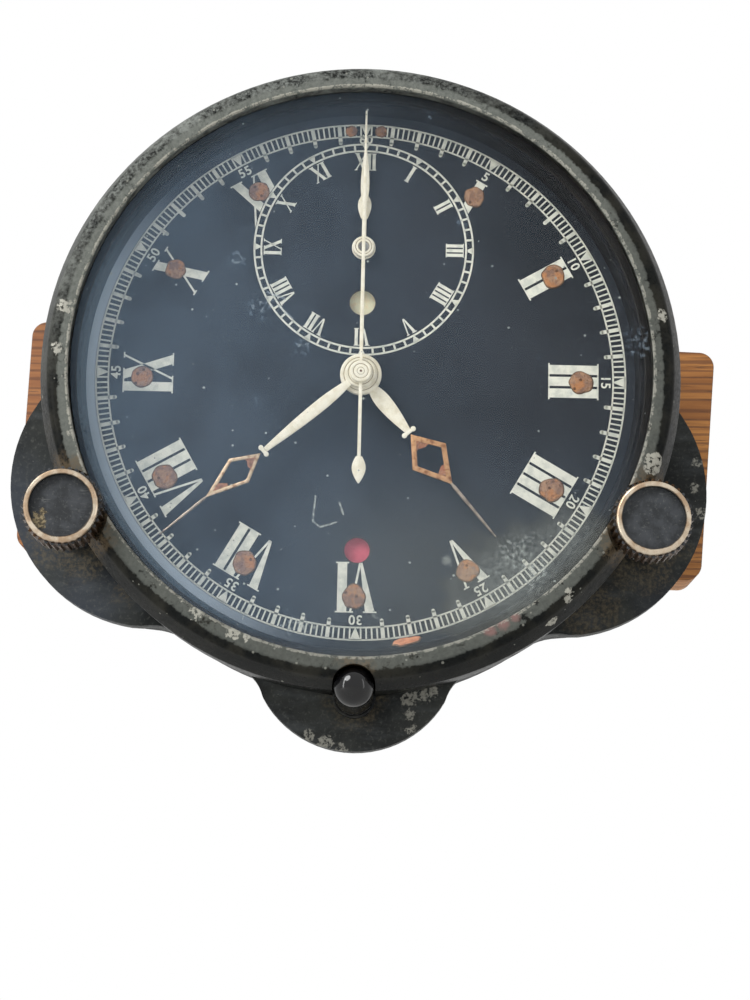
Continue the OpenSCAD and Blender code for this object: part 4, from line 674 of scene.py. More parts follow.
def grimeFinish():
    # A film of dust and old polish on the glass, with a painted reflection: a bluish veil that grows
    # towards the left
    made, shader, mm = startMaterial("film and painted reflection on the glass", rough=0.75, Specular_IOR_Level=0.1)
    place = useGroup(roundPlace, Vector=mm)
    cloud = noise(mm, 0.1, 4.0, 0.6)
    fine = noise(mm, 1.5, 5.0, 0.7)
    # Painted reflection: a bluish veil on the glass, thicker towards the left
    paintedReflection = between(place["Across"], 34, -40, 0.0, 0.085)
    dull = spots(mm, grime["cloud"], 12.0, 8.0, 0.14)
    reflectionAndFilm = multiply(paintedReflection, between(cloud, 0.25, 0.65, 0.7, 1.15))
    reflectionAndFilm = maths("ADD", reflectionAndFilm, multiply(dull, between(fine, 0.3, 0.65, 0.02, 0.12)))
    lowRight = multiply(between(place["Up"], -6, -30, 0.0, 0.048), between(place["Across"], -24, 12))
    reflectionAndFilm = maths("ADD", reflectionAndFilm, lowRight)
    smear = multiply(spots(mm, grime["smears"], 4.2, 1.8, 0.5), between(fine, 0.5, 0.64))
    dots = spots(mm, grime["dots"], 0.5, 0.9, 1.0)
    lines = [useGroup(thread, Vector=mm, From=onFront(*start, glassTop), To=onFront(*end, glassTop),
                      Width=0.2)[0] for start, end in grime["lines"]]
    fleck = specked(mm, 0.4, 0.1, 0.3)
    dust = specked(mm, 1.1, 0.14, 0.16)
    marks = highest(multiply(smear, 0.24), multiply(fleck, 0.42), multiply(dust, 0.3),
                    multiply(dots, 0.15),
                    multiply(highest(*lines), between(fine, 0.4, 0.55, 0.1, 0.34)))
    join(maths("ADD", reflectionAndFilm, marks), shader.inputs["Alpha"])
    greenish = between(maths("MULTIPLY_ADD", lowRight, 5.0, maths("ADD", dull, marks)), 0.0, 0.4)
    # Where only the painted reflection lies, the film takes the bluish colour
    join(mixColour(greenish, tint(150, 178, 206), tint(196, 204, 200)), shader.inputs["Base Color"])
    return made


bezelPaint = bezelFinish()
flangePaint = castingFinish("worn flange enamel", (33, 35, 35), (54, 56, 54), 0.12)
housingPaint = castingFinish("dull housing enamel", (32, 34, 36), (52, 52, 50), 0.2, False)
oak = woodFinish()
bronze = knobFinish()
knobFace = knobFaceFinish()
glossBlack = glossBlackFinish()
clearGlass = glassFinish()
filmAndReflection = grimeFinish()
dialPaint = dialFinish()
ringPaint = ringFinish()
printPaint = paintFinish("dial print", (232, 232, 218), (208, 210, 198), (128, 130, 126), 0.6, 0.64)
creamPaint = paintFinish("cream hand paint", (252, 246, 226), (238, 230, 204), (170, 154, 122),
                         0.55, 0.62)
brownPaint = pipFinish("perished luminous paint", (172, 136, 108), (188, 130, 84), (138, 108, 92),
                       (70, 46, 34))
tipPaint = pipFinish("browned luminous paint", (176, 122, 90), (170, 106, 72), (130, 92, 72),
                     (70, 44, 34))
flakePaint = paintFinish("loose flake of paint", (222, 152, 112), (188, 120, 86), (120, 78, 56),
                         0.75, 0.6, 0.9, 0.0001)
burntEdge = paintFinish("dark border of the pips", (122, 96, 74), (88, 66, 52), (56, 42, 34), 0.8)
grooveDirt = paintFinish("dirt in a groove", (166, 152, 124), (190, 178, 150), (120, 104, 80), 0.7)
redPaint = paintFinish("red flag", (238, 102, 122), (222, 90, 108), (180, 60, 78), 0.5, 0.66)
creamFlag = paintFinish("cream flag", (255, 250, 212), (255, 238, 194), (226, 194, 140), 0.5, 0.66)
rubber = paintFinish("gasket rubber", (26, 26, 26), (38, 37, 35), (58, 56, 52), 0.8)
windowShade = paintFinish("shade of a window", (38, 34, 36), (58, 50, 48), (26, 24, 24), 0.8)
tipMetal = metalFinish("tarnished hand metal", (196, 152, 108), (136, 92, 58), 0.42, 0.2, 1.2)
paleTip = metalFinish("pale hand metal", (214, 192, 160), (148, 110, 78), 0.4, 0.2, 1.2)
needleMetal = metalFinish("grey needle metal", (172, 158, 142), (112, 98, 84), 0.42, 0.2, 1.2)
brass = metalFinish("movement brass", (206, 172, 96), (140, 104, 52), 0.32)
steel = metalFinish("turned steel", (176, 176, 172), (110, 106, 98), 0.3)
springSteel = metalFinish("blued spring steel", (72, 84, 118), (40, 44, 62), 0.3)
dullScrew = metalFinish("darkened screw steel", (132, 126, 112), (62, 54, 44), 0.42)
brassScrew = metalFinish("dull brass screw", (170, 140, 78), (82, 62, 36), 0.4)
print("finishes made")


# Shaping

def finishPiece(bm, name, materials, body, stands=(), sharp=32, drawn=True):
    # The drawing becomes a piece of the clock that rides on a body
    if drawn:
        bmesh.ops.transform(bm, matrix=toWorld, verts=bm.verts)
    bmesh.ops.recalc_face_normals(bm, faces=bm.faces)
    if bm.calc_volume(signed=True) < 0:
        bmesh.ops.reverse_faces(bm, faces=bm.faces)
    mesh = bpy.data.meshes.new(name)
    bm.to_mesh(mesh)
    bm.free()
    mesh.shade_smooth()
    mesh.set_sharp_from_angle(angle=math.radians(sharp))
    for material in materials if isinstance(materials, list) else [materials]:
        mesh.materials.append(material)
    piece = bpy.data.objects.new(name, mesh)
    scene.collection.objects.link(piece)
    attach(piece, body)
    if stands:
        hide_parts(*stands)


def weld(bm, dist=0.0005):
    bmesh.ops.remove_doubles(bm, verts=bm.verts, dist=dist)


def rounded(bm, edges, width, segments):
    return bmesh.ops.bevel(bm, geom=edges, offset=width, offset_type="OFFSET", affect="EDGES",
                           segments=segments, profile=0.5, material=-1, clamp_overlap=True)


def thicken(bm, faces, thick):
    # Draws flat faces out upwards. Returns the vertices of their new tops.
    made = bmesh.ops.extrude_face_region(bm, geom=faces)
    top = [v for v in made["geom"] if isinstance(v, bmesh.types.BMVert)]
    bmesh.ops.translate(bm, verts=top, vec=(0, 0, thick))
    return top


def softDrawing(node, width=0.3, segments=3, angle=30, merge=0.5):
    # A CAD node's own shape with its outer corners rounded. The rounding carries the mark "edge".
    bm = bmesh.new()
    bm.from_mesh(frame["nodes"][node].data)
    weld(bm, 0.000002)
    bmesh.ops.dissolve_limit(bm, angle_limit=math.radians(merge), verts=bm.verts, edges=bm.edges)
    corners = [e for e in bm.edges if len(e.link_faces) == 2 and e.is_convex
               and e.calc_face_angle(0) > math.radians(angle)]
    mark = bm.verts.layers.float.new("edge")
    made = rounded(bm, corners, width / 1000, segments)
    newFaces = set(made["faces"])
    for v in made["verts"]:
        if v.is_valid and all(f in newFaces for f in v.link_faces):
            v[mark] = 1.0
    return bm


def spinRound(bm, points, centre=(0, 0), steps=160):
    # A profile of (radius, height) points turned full circle. Points on the axis close up.
    verts = [bm.verts.new((centre[0] + r, centre[1], z)) for r, z in points]
    edges = [bm.edges.new(pair) for pair in zip(verts, verts[1:])]
    bmesh.ops.spin(bm, geom=verts + edges, cent=(centre[0], centre[1], 0), axis=(0, 0, 1),
                   angle=2 * math.pi, steps=steps, use_merge=True)
    weld(bm)


def closedRound(bm, points, centre=(0, 0), steps=160):
    # A closed profile, such as a ring's section, turned full circle
    spinRound(bm, points + points[:1], centre, steps)


def hoop(bm, rIn, rOut, low, high, centre, steps):
    closedRound(bm, [(rIn, low), (rOut, low), (rOut, high), (rIn, high)], centre, steps)


def arc(centre, r, start, end, steps):
    # Points of (radius, height) round a centre, by angle in degrees
    return [(centre[0] + r * math.cos(math.radians(start + (end - start) * i / steps)),
             centre[1] + r * math.sin(math.radians(start + (end - start) * i / steps)))
            for i in range(steps + 1)]


def plate(bm, outline, z, thick):
    # A flat plate with its face at z + thick. Returns its vertices.
    face = bm.faces.new([bm.verts.new((x, y, z)) for x, y in outline])
    top = thicken(bm, [face], thick)
    return list(face.verts) + top


def bar(bm, low, high, width, z, thick, lowWidth=None):
    # A stroke between two points (x, y), cut off level at both ends. Returns its vertices, low first.
    made = sorted(bmesh.ops.create_cube(bm, size=2)["verts"], key=lambda v: v.co.y)
    for v in made:
        end = high if v.co.y > 0 else low
        half = (width if v.co.y > 0 or lowWidth is None else lowWidth) / 2
        v.co = (end[0] + v.co.x * half, end[1], z + (thick if v.co.z > 0 else 0))
    return made


def cutByRing(bm, verts, centre, r):
    # Takes away what a stroke has inside a circle
    ends = [sum((v.co for v in half), Vector()) / 4 for half in (verts[:4], verts[4:])]
    for end in ends:
        end.z = 0
    inside = [(end - centre).length < r for end in ends]
    if all(inside):
        bmesh.ops.delete(bm, geom=verts, context="VERTS")
    if all(inside) or not any(inside):
        return
    a, b = ends if inside[0] else reversed(ends)
    for step in range(20):
        middle = (a + b) / 2
        if (middle - centre).length < r:
            a = middle
        else:
            b = middle
    chosen = set(verts)
    geom = verts + [e for e in bm.edges if chosen.issuperset(e.verts)]
    geom += [f for f in bm.faces if chosen.issuperset(f.verts)]
    made = bmesh.ops.bisect_plane(bm, geom=geom, dist=0.00001, plane_co=a,
                                  plane_no=(a - centre).normalized(), clear_inner=True)
    cut = [e for e in made["geom_cut"] if isinstance(e, bmesh.types.BMEdge)]
    bmesh.ops.contextual_create(bm, geom=cut)


def disc(bm, x, y, r, z, thick, segments=20):
    made = bmesh.ops.create_cone(bm, cap_ends=True, segments=segments, radius1=r, radius2=r, depth=thick,
                                 matrix=Matrix.Translation((x, y, z + thick / 2)))
    return made["verts"]


def turned(bm, verts, angle, centre=(0, 0)):
    # Clockwise as seen from the front
    bmesh.ops.rotate(bm, verts=verts, cent=(centre[0], centre[1], 0),
                     matrix=Matrix.Rotation(math.radians(-angle), 3, "Z"))


def roundTop(bm, verts, width, segments=2):
    # Rounds the front edges of the pieces that these vertices make
    bmesh.ops.recalc_face_normals(bm, faces=bm.faces)
    chosen = set(verts)
    edges = [e for e in bm.edges if e.verts[0] in chosen and e.verts[1] in chosen
             and len(e.link_faces) == 2 and e.calc_face_angle(0) > math.radians(40)
             and any(f.normal.z > 0.9 for f in e.link_faces)]
    rounded(bm, edges, width, segments)


# Castings
rimWear = {"radii": (49.4, 50.8, 52.6), "heights": (-11.7, -7.4), "by": 1.15}
castings = {
    "bezel": ("bezelRing", bezelPaint, 0.22), "front_flange": ("flangeCasting", flangePaint, 0.45),
    "gear_housing": ("housingCasting", housingPaint, 0.5),
    "rear_cover": ("rearCoverPlate", housingPaint, 0.4)
}


def rimDrawnIn(bm):
    # The flange's thin rim, and the foot of the bezel on it, worn down to the bezel's side
    inner, rim, outer = rimWear["radii"]
    low, high = rimWear["heights"]
    for v in bm.verts:
        x, y, height = v.co.x * 1000, v.co.z * 1000, faceDepth - v.co.y * 1000
        r = math.hypot(x, y)
        if low < height < high and inner < r < outer:
            share = min(1.0, (outer - r) / (outer - rim))
            share = min(share, (r - inner) / (rim - inner))
            v.co.x *= (r - rimWear["by"] * share) / r
            v.co.z *= (r - rimWear["by"] * share) / r


for node, (name, paint, width) in castings.items():
    bm = softDrawing(node, width)
    if node in ("bezel", "front_flange"):
        rimDrawnIn(bm)
    finishPiece(bm, name, paint, "case", (node,), 40, drawn=False)
print("castings made")

# Batten: rounded like old wood, its lower right corner worn away
batten = {"round": 1.1, "segments": 4, "wornFrom": (52.0, -8.0), "wornBy": 1.7}
bm = softDrawing("wooden_batten", batten["round"], batten["segments"], 40)
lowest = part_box("wooden_batten")[0][2] * 1000
wornX, wornY = batten["wornFrom"]
for v in bm.verts:
    x, y = v.co.x * 1000, v.co.z * 1000
    if x > wornX and y < wornY:
        v.co.x -= batten["wornBy"] / 1000 * (wornY - y) / (wornY - lowest)
finishPiece(bm, "oakBatten", oak, "case", ("wooden_batten",), 40, drawn=False)
print("batten made")

# Knobs: the rim and milling are bronze, the sunk face is painted
knob = {"round": 0.12, "recess": 4.88, "faceDepth": 0.9}
for node, body in (("winding_knob", "winding_knob_body"), ("setting_knob", "setting_knob_body")):
    bm = softDrawing(node, knob["round"], 3, 28)
    axis = middleOf(node)
    front = frontOf(node)
    for f in bm.faces:
        centre = f.calc_center_median() * 1000
        away = math.hypot(centre.x - axis.x, centre.z - axis.y)
        height = faceDepth - centre.y
        if away < knob["recess"] and front - knob["faceDepth"] - 0.1 < height < front - 0.25:
            f.material_index = 1
    name = "windingKnob" if node == "winding_knob" else "settingKnob"
    finishPiece(bm, name, [bronze, knobFace], body, (node,), 35, drawn=False)
print("knobs made")

# Push button: a domed plunger turned from one bar
button = {"round": 0.35, "bore": 1.52, "grip": 3.0, "rings": 14}
axis = middleOf("push_button")
buttonR = radiusOf("push_button")
buttonTop = frontOf("push_button")
buttonEnd = backOf("push_button")
domeZ = buttonTop - buttonR
bm = bmesh.new()
profile = arc((0, domeZ), buttonR, 90, 0, button["rings"])
profile[0] = (0, buttonTop)
gripEnd = buttonEnd + button["grip"]
profile += [(buttonR, buttonEnd + button["round"]), (buttonR - button["round"], buttonEnd),
            (button["bore"], buttonEnd), (button["bore"], gripEnd), (0, gripEnd)]
spinRound(bm, profile, (axis.x, axis.y), 72)
finishPiece(bm, "pushButton", glossBlack, "button_body", ("push_button",), 40)

# Return spring: one round wire wound in an even helix
spring = {"wire": 0.25, "curls": 4, "steps": 28, "sides": 12}
springAt = middleOf("button_spring")
springR = radiusOf("button_spring") - spring["wire"]
springLow = backOf("button_spring") + spring["wire"]
springHigh = frontOf("button_spring") - spring["wire"]
bm = bmesh.new()
bmesh.ops.create_circle(bm, cap_ends=True, segments=spring["sides"], radius=spring["wire"],
                        matrix=Matrix.Translation((springAt.x + springR, springAt.y, springLow)) @ upright)
steps = spring["curls"] * spring["steps"]
climb = (springHigh - springLow) / steps
bmesh.ops.spin(bm, geom=bm.verts[:] + bm.edges[:] + bm.faces[:], cent=(springAt.x, springAt.y, 0),
               axis=(0, 0, 1), dvec=(0, 0, climb), angle=2 * math.pi * spring["curls"], steps=steps)
finishPiece(bm, "buttonSpring", springSteel, "button_body", ("button_spring",), 50)
print("button made")

# Glass, with its ground edge, and the film on it, which also carries a painted reflection
glassR = radiusOf("glass")
glassLow = backOf("glass")
glass = {"ground": 0.25, "filmGap": 0.03, "filmThick": 0.02, "filmR": 45.6}
ground = glass["ground"]
bm = bmesh.new()
spinRound(bm, [(0, glassLow), (glassR - ground, glassLow), (glassR, glassLow + ground),
               (glassR, glassTop - ground), (glassR - ground, glassTop), (0, glassTop)], (0, 0), 192)
finishPiece(bm, "frontGlass", clearGlass, "case", ("glass",), 20)
bm = bmesh.new()
low = glassTop + glass["filmGap"]
high = low + glass["filmThick"]
spinRound(bm, [(0, low), (glass["filmR"], low), (glass["filmR"], high), (0, high)], (0, 0), 96)
finishPiece(bm, "glassFilmAndReflection", filmAndReflection, "case")

# Rehaut ring behind the gasket, turned with a soft inner lip
rehautR = radiusOf("rehaut_ring")
rehautTop = frontOf("rehaut_ring")
dialR = radiusOf("dial")
rehaut = {"in": 0.65, "flare": 0.45, "low": 0.1, "seat": 0.5, "spigot": 0.8, "lip": 0.15}
bm = bmesh.new()
inner, lip, low, spigot = dialR - rehaut["in"], rehaut["lip"], rehaut["low"], rehautTop - rehaut["spigot"]
closedRound(bm, [(rehautR, spigot), (rehautR, rehautTop), (inner + rehaut["flare"] + lip, rehautTop),
                 (inner + rehaut["flare"], rehautTop - lip), (inner + 0.02, low + lip), (inner + lip, low),
                 (dialR - 0.1, low), (dialR + 0.1, rehaut["seat"]), (dialR + 0.1, spigot)], (0, 0), 192)
finishPiece(bm, "rehautRing", ringPaint, "case", ("rehaut_ring",), 25)
print("glass and rehaut made")

# Dial print: raised 0.03 mm, as thick ink is
ink = {"thick": 0.03, "track": (40.25, 42.2), "line": 0.26, "tick": 0.26, "ticksPerMinute": 5,
       "minute": 0.62, "minuteIn": 38.95, "wedge": 0.85}
tripTrack = {"track": (16.5, 17.62), "line": 0.3, "tick": 0.34, "wedge": 0.62}
trip = Vector((0, middleOf("trip_arbor").y, 0))


def ringLine(bm, r, width, centre=(0, 0)):
    hoop(bm, r - width / 2, r + width / 2, 0, ink["thick"], centre, 240)


bm = bmesh.new()
rIn, rOut = ink["track"]
ringLine(bm, rIn, ink["line"])
ringLine(bm, rOut, ink["line"])
ticks, minute, thick = ink["ticksPerMinute"], ink["minute"], ink["thick"]
for i in range(60 * ticks):
    if i % ticks:
        made = bar(bm, (0, rIn), (0, rOut), ink["tick"], 0, thick)
    elif i % (5 * ticks):
        foot = ink["minuteIn"] + minute / 2
        made = bar(bm, (0, foot), (0, rOut), minute, 0, thick)
        made += disc(bm, 0, foot, minute / 2, 0, thick, 12)
    else:
        made = bar(bm, (0, rIn), (0, rOut), 2 * ink["wedge"], 0, thick, 0.1)
    turned(bm, made, 360 * i / (60 * ticks))
finishPiece(bm, "minuteTrack", printPaint, "case")

bm = bmesh.new()
rIn, rOut = tripTrack["track"]
ringLine(bm, rIn, tripTrack["line"], trip)
ringLine(bm, rOut, tripTrack["line"], trip)
for i in range(60):
    width = 2 * tripTrack["wedge"] if i % 5 == 0 else tripTrack["tick"]
    lowWidth = 0.12 if i % 5 == 0 else None
    made = bar(bm, (0, trip.y + rIn), (0, trip.y + rOut), width, 0, ink["thick"], lowWidth)
    turned(bm, made, 6 * i, trip)
finishPiece(bm, "tripTrack", printPaint, "case")

# Roman numerals, their heads outwards, drawn upright at the top of the dial and turned
largeRoman = {"foot": 30.0, "head": 37.8, "stroke": 1.5, "gap": 0.42, "thin": 0.34, "vee": 4.0, "ex": 4.1,
              "serif": 0.22, "serifOut": 0.3}
smallRoman = {"foot": 13.3, "head": 16.05, "stroke": 0.52, "gap": 0.26, "thin": 0.2, "vee": 1.5, "ex": 1.7,
              "serif": 0.13, "serifOut": 0.14}
hours = ["I", "II", "III", "IIII", "V", "VI", "VII", "VIII", "IX", "X", "XI", "XII"]


def roman(bm, text, style, angle, centre=(0, 0), ring=None):
    glyphWidth = {"I": style["stroke"], "V": style["vee"], "X": style["ex"]}
    span = sum(glyphWidth[c] for c in text) + style["gap"] * (len(text) - 1)
    x = -span / 2
    low, high = style["foot"], style["head"]
    bars = []

    def stroke(xLow, xHigh, width, lowWidth=None):
        ends = (centre[0] + xLow, centre[1] + low), (centre[0] + xHigh, centre[1] + high)
        bars.append(bar(bm, *ends, width, 0, ink["thick"], lowWidth))

    def serif(at, width, atHead):
        x, y = centre[0] + at, centre[1] + (high if atHead else low)
        ends = (x, y - style["serif"] / 2), (x, y + style["serif"] / 2)
        bars.append(bar(bm, *ends, width + 2 * style["serifOut"], 0, ink["thick"] * 1.1))

    for c in text:
        width = glyphWidth[c]
        thick, thin = style["stroke"], style["thin"]
        if c == "I":
            stroke(x + width / 2, x + width / 2, thick)
            serif(x + width / 2, thick, True)
            serif(x + width / 2, thick, False)
        elif c == "V":
            apex = x + width * 0.56
            stroke(apex, x + thick / 2, thick, thin * 1.1)
            stroke(apex + thin / 2, x + width - thin / 2, thin)
            serif(x + thick / 2, thick, True)
            serif(x + width - thin / 2, thin, True)
        else:
            stroke(x + width - thick / 2, x + thick / 2, thick)
            stroke(x + thin / 2, x + width - thin / 2, thin)
            serif(x + thick / 2, thick, True)
            serif(x + width - thin / 2, thin, True)
            serif(x + width - thick / 2, thick, False)
            serif(x + thin / 2, thin, False)
        x += width + style["gap"]
    for verts in bars:
        turned(bm, verts, angle, centre)
        if ring:
            cutByRing(bm, verts, ring[0], ring[1])


bm = bmesh.new()
for hour, text in enumerate(hours[:11], start=1):
    roman(bm, text, largeRoman, 30 * hour, (0, 0), (trip, tripTrack["track"][1] + 0.25))
finishPiece(bm, "hourNumerals", printPaint, "case")
bm = bmesh.new()
for hour, text in enumerate(hours, start=1):
    roman(bm, text, smallRoman, 30 * hour, trip)
finishPiece(bm, "tripNumerals", printPaint, "case")

# Plain numbers every five minutes
figures = {"size": 2.1, "r": 39.12, "topR": 39.85, "bold": 0.04, "spacing": 1.08}
bm = bmesh.new()
for minute in range(5, 65, 5):
    curve = bpy.data.curves.new("figure", "FONT")
    curve.body = str(minute)
    curve.size = figures["size"]
    curve.offset = figures["bold"]
    curve.space_character = figures["spacing"]
    curve.fill_mode = "FRONT"
    curve.align_x = "CENTER"
    holder = bpy.data.objects.new("figure", curve)
    scene.collection.objects.link(holder)
    bpy.context.view_layer.update()
    flat = bpy.data.meshes.new_from_object(holder.evaluated_get(bpy.context.evaluated_depsgraph_get()))
    old = set(bm.verts)
    bm.from_mesh(flat)
    new = [v for v in bm.verts if v not in old]
    middle = figures["topR"] if minute == 60 else figures["r"]
    bmesh.ops.translate(bm, verts=new, vec=(0, middle - figures["size"] * 0.36, 0))
    turned(bm, new, 6 * minute)
    bpy.data.objects.remove(holder)
    bpy.data.meshes.remove(flat)
weld(bm, 0.0003)
bmesh.ops.dissolve_degenerate(bm, edges=bm.edges, dist=0.0003)
bmesh.ops.delete(bm, geom=[v for v in bm.verts if not v.link_faces], context="VERTS")
bmesh.ops.delete(bm, geom=[e for e in bm.edges if not e.link_faces], context="EDGES")
thicken(bm, bm.faces[:], ink["thick"])
finishPiece(bm, "minuteFigures", printPaint, "case")
print("dial printed")

# Luminous pips: flat cakes of perished paint, uneven round the edge and pitted
pips = {"circle": 35.2, "smallR": 1.0, "smallCircle": 41.2, "smallTurn": 3.35, "thick": 0.26,
        "r": (1.7, 1.95, 1.92, 2.0, 1.85, 1.92, 1.92, 1.97, 1.8, 1.7, 1.7),
        "off": ((0.1, -0.05), (0.1, -0.25), (-0.1, -0.2), (0.1, -0.1), (-0.15, -0.4), (-0.35, -0.2),
                (-0.05, 0.1), (-0.2, 0.7), (0.4, -0.7), (0.3, -0.4), (0.5, 0.05))}


def cake(bm, x, y, r, seed, thick, ragged=0.15):
    made = bmesh.ops.create_icosphere(bm, subdivisions=5, radius=1.0)["verts"]
    border = bm.verts.layers.float["border"]
    for v in made:
        flat = min(1.0, math.hypot(v.co.x, v.co.y))
        turn = math.atan2(v.co.y, v.co.x)
        wavy = fieldNoise.noise(Vector((math.cos(turn) * 1.5, math.sin(turn) * 1.5, seed * 3.1)))
        reach = r * (1 + ragged * wavy) * flat ** 0.75
        pit = fieldNoise.noise(Vector((v.co.x * 2.6, v.co.y * 2.6, seed * 5.7)))
        deep = max(0.0, pit - 0.24) * 1.2
        rise = thick * (1 - flat ** 5) ** 0.5 * (0.86 + 0.25 * pit - deep)
        v.co = (x + reach * math.cos(turn), y + reach * math.sin(turn), rise if v.co.z > 0 else 0.0)
        v[border] = flat
    for f in {f for v in made for f in v.link_faces}:
        f.material_index = 1 if sum(v[border] for v in f.verts) > 0.87 * len(f.verts) else 0
    return made


bm = bmesh.new()
bm.verts.layers.float.new("border")
for hour in range(1, 12):
    place = Matrix.Rotation(math.radians(-30 * hour), 2) @ Vector((0, pips["circle"]))
    place += Vector(pips["off"][hour - 1])
    cake(bm, place.x, place.y, pips["r"][hour - 1], hour, pips["thick"])
for side in (-1, 1):
    place = Matrix.Rotation(math.radians(side * pips["smallTurn"]), 2) @ Vector((0, pips["smallCircle"]))
    cake(bm, place.x, place.y, pips["smallR"], 20 + side, pips["thick"] * 0.8, 0.12)
weld(bm)
finishPiece(bm, "luminousPips", [brownPaint, burntEdge], "case", ("luminous_pips",), 60)

# The dial's two windows are lined with dark rings of painted shade, as wide as the shade in them
windowWalls = {"Trip": (12.3, 2.19, 0.13), "Main": (-28, 2.29, 0.29)}
wallTop, wallEnd = -0.02, -0.3
for name, (up, r, width) in windowWalls.items():
    bm = bmesh.new()
    hoop(bm, r - width, r, wallTop, wallEnd, (0, up), 64)
    finishPiece(bm, "windowWall" + name, windowShade, "case")

# A flake of the same paint lies loose in the bottom of the rehaut
flake = {"place": (8.1, -42.6, 2.2), "size": (2.3, 1.7, 0.4), "tilt": -64, "turn": -13}
bm = bmesh.new()
bm.verts.layers.float.new("border")
cake(bm, 0, 0, 1.0, 31, 1.0, 0.35)
bmesh.ops.scale(bm, verts=bm.verts, vec=flake["size"])
bmesh.ops.rotate(bm, verts=bm.verts, matrix=Matrix.Rotation(math.radians(flake["tilt"]), 3, "X"))
turned(bm, bm.verts, flake["turn"])
bmesh.ops.translate(bm, verts=bm.verts, vec=flake["place"])
weld(bm)
finishPiece(bm, "looseFlake", [flakePaint, burntEdge], "case", (), 60)
print("pips made")


# Hands: cream blades with a collar, then a skeleton of bare metal that still holds some paint

def leafOutline(y0, y1, w, wEnd, widest):
    steps = 12

    def half(t):
        if t < widest:
            return w / 2 * (0.45 + 0.55 * math.sin(math.pi / 2 * t / widest))
        return wEnd / 2 + (w - wEnd) / 2 * math.cos(math.pi / 2 * (t - widest) / (1 - widest))

    right = [(half(i / steps), y0 + (y1 - y0) * i / steps) for i in range(steps + 1)]
    return right + [(-x, y) for x, y in reversed(right)]


groove = {"top": 0.1, "floor": 0.04, "deep": 0.03, "bore": 0.1, "dirt": 0.07, "boreDirt": 0.06}


def hubRing(bm, hand, low, centre=(0, 0), rim=0.16):
    # A boss with a rounded shoulder and a shallow groove half-way to its bore
    rOut, rIn = hand["hub"]
    high = low + hand["reach"][1]
    mid = (rOut + rIn) / 2
    top, floor, deep, bore = groove["top"], groove["floor"], high - groove["deep"], groove["bore"]
    before = set(bm.faces)
    closedRound(bm, [(rIn, low), (rOut, low), (rOut, high - rim), (rOut - rim * 0.3, high - rim * 0.3),
                     (rOut - rim, high), (mid + top, high), (mid + floor, deep), (mid - floor, deep),
                     (mid - top, high), (rIn + bore, high), (rIn, high - bore)], centre, 72)
    for f in bm.faces:
        if f not in before:
            at = f.calc_center_median()
            away = math.hypot(at.x - centre[0], at.y - centre[1])
            dirty = abs(away - mid) < groove["dirt"] or away < rIn + groove["boreDirt"]
            f.material_index = 1 if dirty and at.z > high - 0.2 else 0


def skeleton(bm, y0, ym, y1, halfW, rim, z, thick):
    # The open diamond of a hand
    outer = [bm.verts.new(p) for p in ((0, y0, z), (halfW, ym, z), (0, y1, z), (-halfW, ym, z))]
    face = bm.faces.new(outer)
    face.normal_update()
    ringFaces = bmesh.ops.inset_region(bm, faces=[face], thickness=rim, use_even_offset=True,
                                       use_boundary=True)["faces"]
    bmesh.ops.delete(bm, geom=[face], context="FACES_ONLY")
    top = thicken(bm, ringFaces, thick)
    return [v for f in ringFaces for v in f.verts] + top


def paintWedge(bm, tip, toward, spread, z, thick, seed):
    # What is left of the luminous paint in a sharp corner of the skeleton
    dent, bulge = toward - (toward - tip) * 0.12 * (1 + seed % 2), toward + (toward - tip) * 0.1
    outline = [(0, tip), (spread, toward), (spread * 0.35, dent), (-spread * 0.3, bulge), (-spread, toward)]
    return plate(bm, outline, z, thick)


hands = {
    "hour": {"node": "hour_hand", "body": "hour_hand_body", "angle": 139.8, "length": 33.6,
             "hub": (3.3, 2.02), "blade": (2.2, 0.352, 2.55, 1.0, 0.35), "collar": (0.359, 0.88, 0.42),
             "diamond": (0.372, 0.51, 0.682, 3.4, 0.82), "needle": (0.669, 1.0, 0.54, 0.22),
             "reach": (0.3, 0.9), "metal": tipMetal},
    "minute": {"node": "minute_hand", "body": "minute_hand_body", "angle": 229.2, "length": 40.8,
               "hub": (2.4, 1.47), "blade": (1.6, 0.478, 1.95, 0.8, 0.37), "collar": (0.486, 0.66, 0.4),
               "diamond": (0.5, 0.608, 0.775, 2.45, 0.55), "needle": (0.765, 1.0, 0.44, 0.22),
               "reach": (0.2, 0.8), "metal": paleTip},
}
collar = {"half": 0.28, "lower": 0.02, "proud": 0.04, "ballProud": 0.06}
thick = 0.25
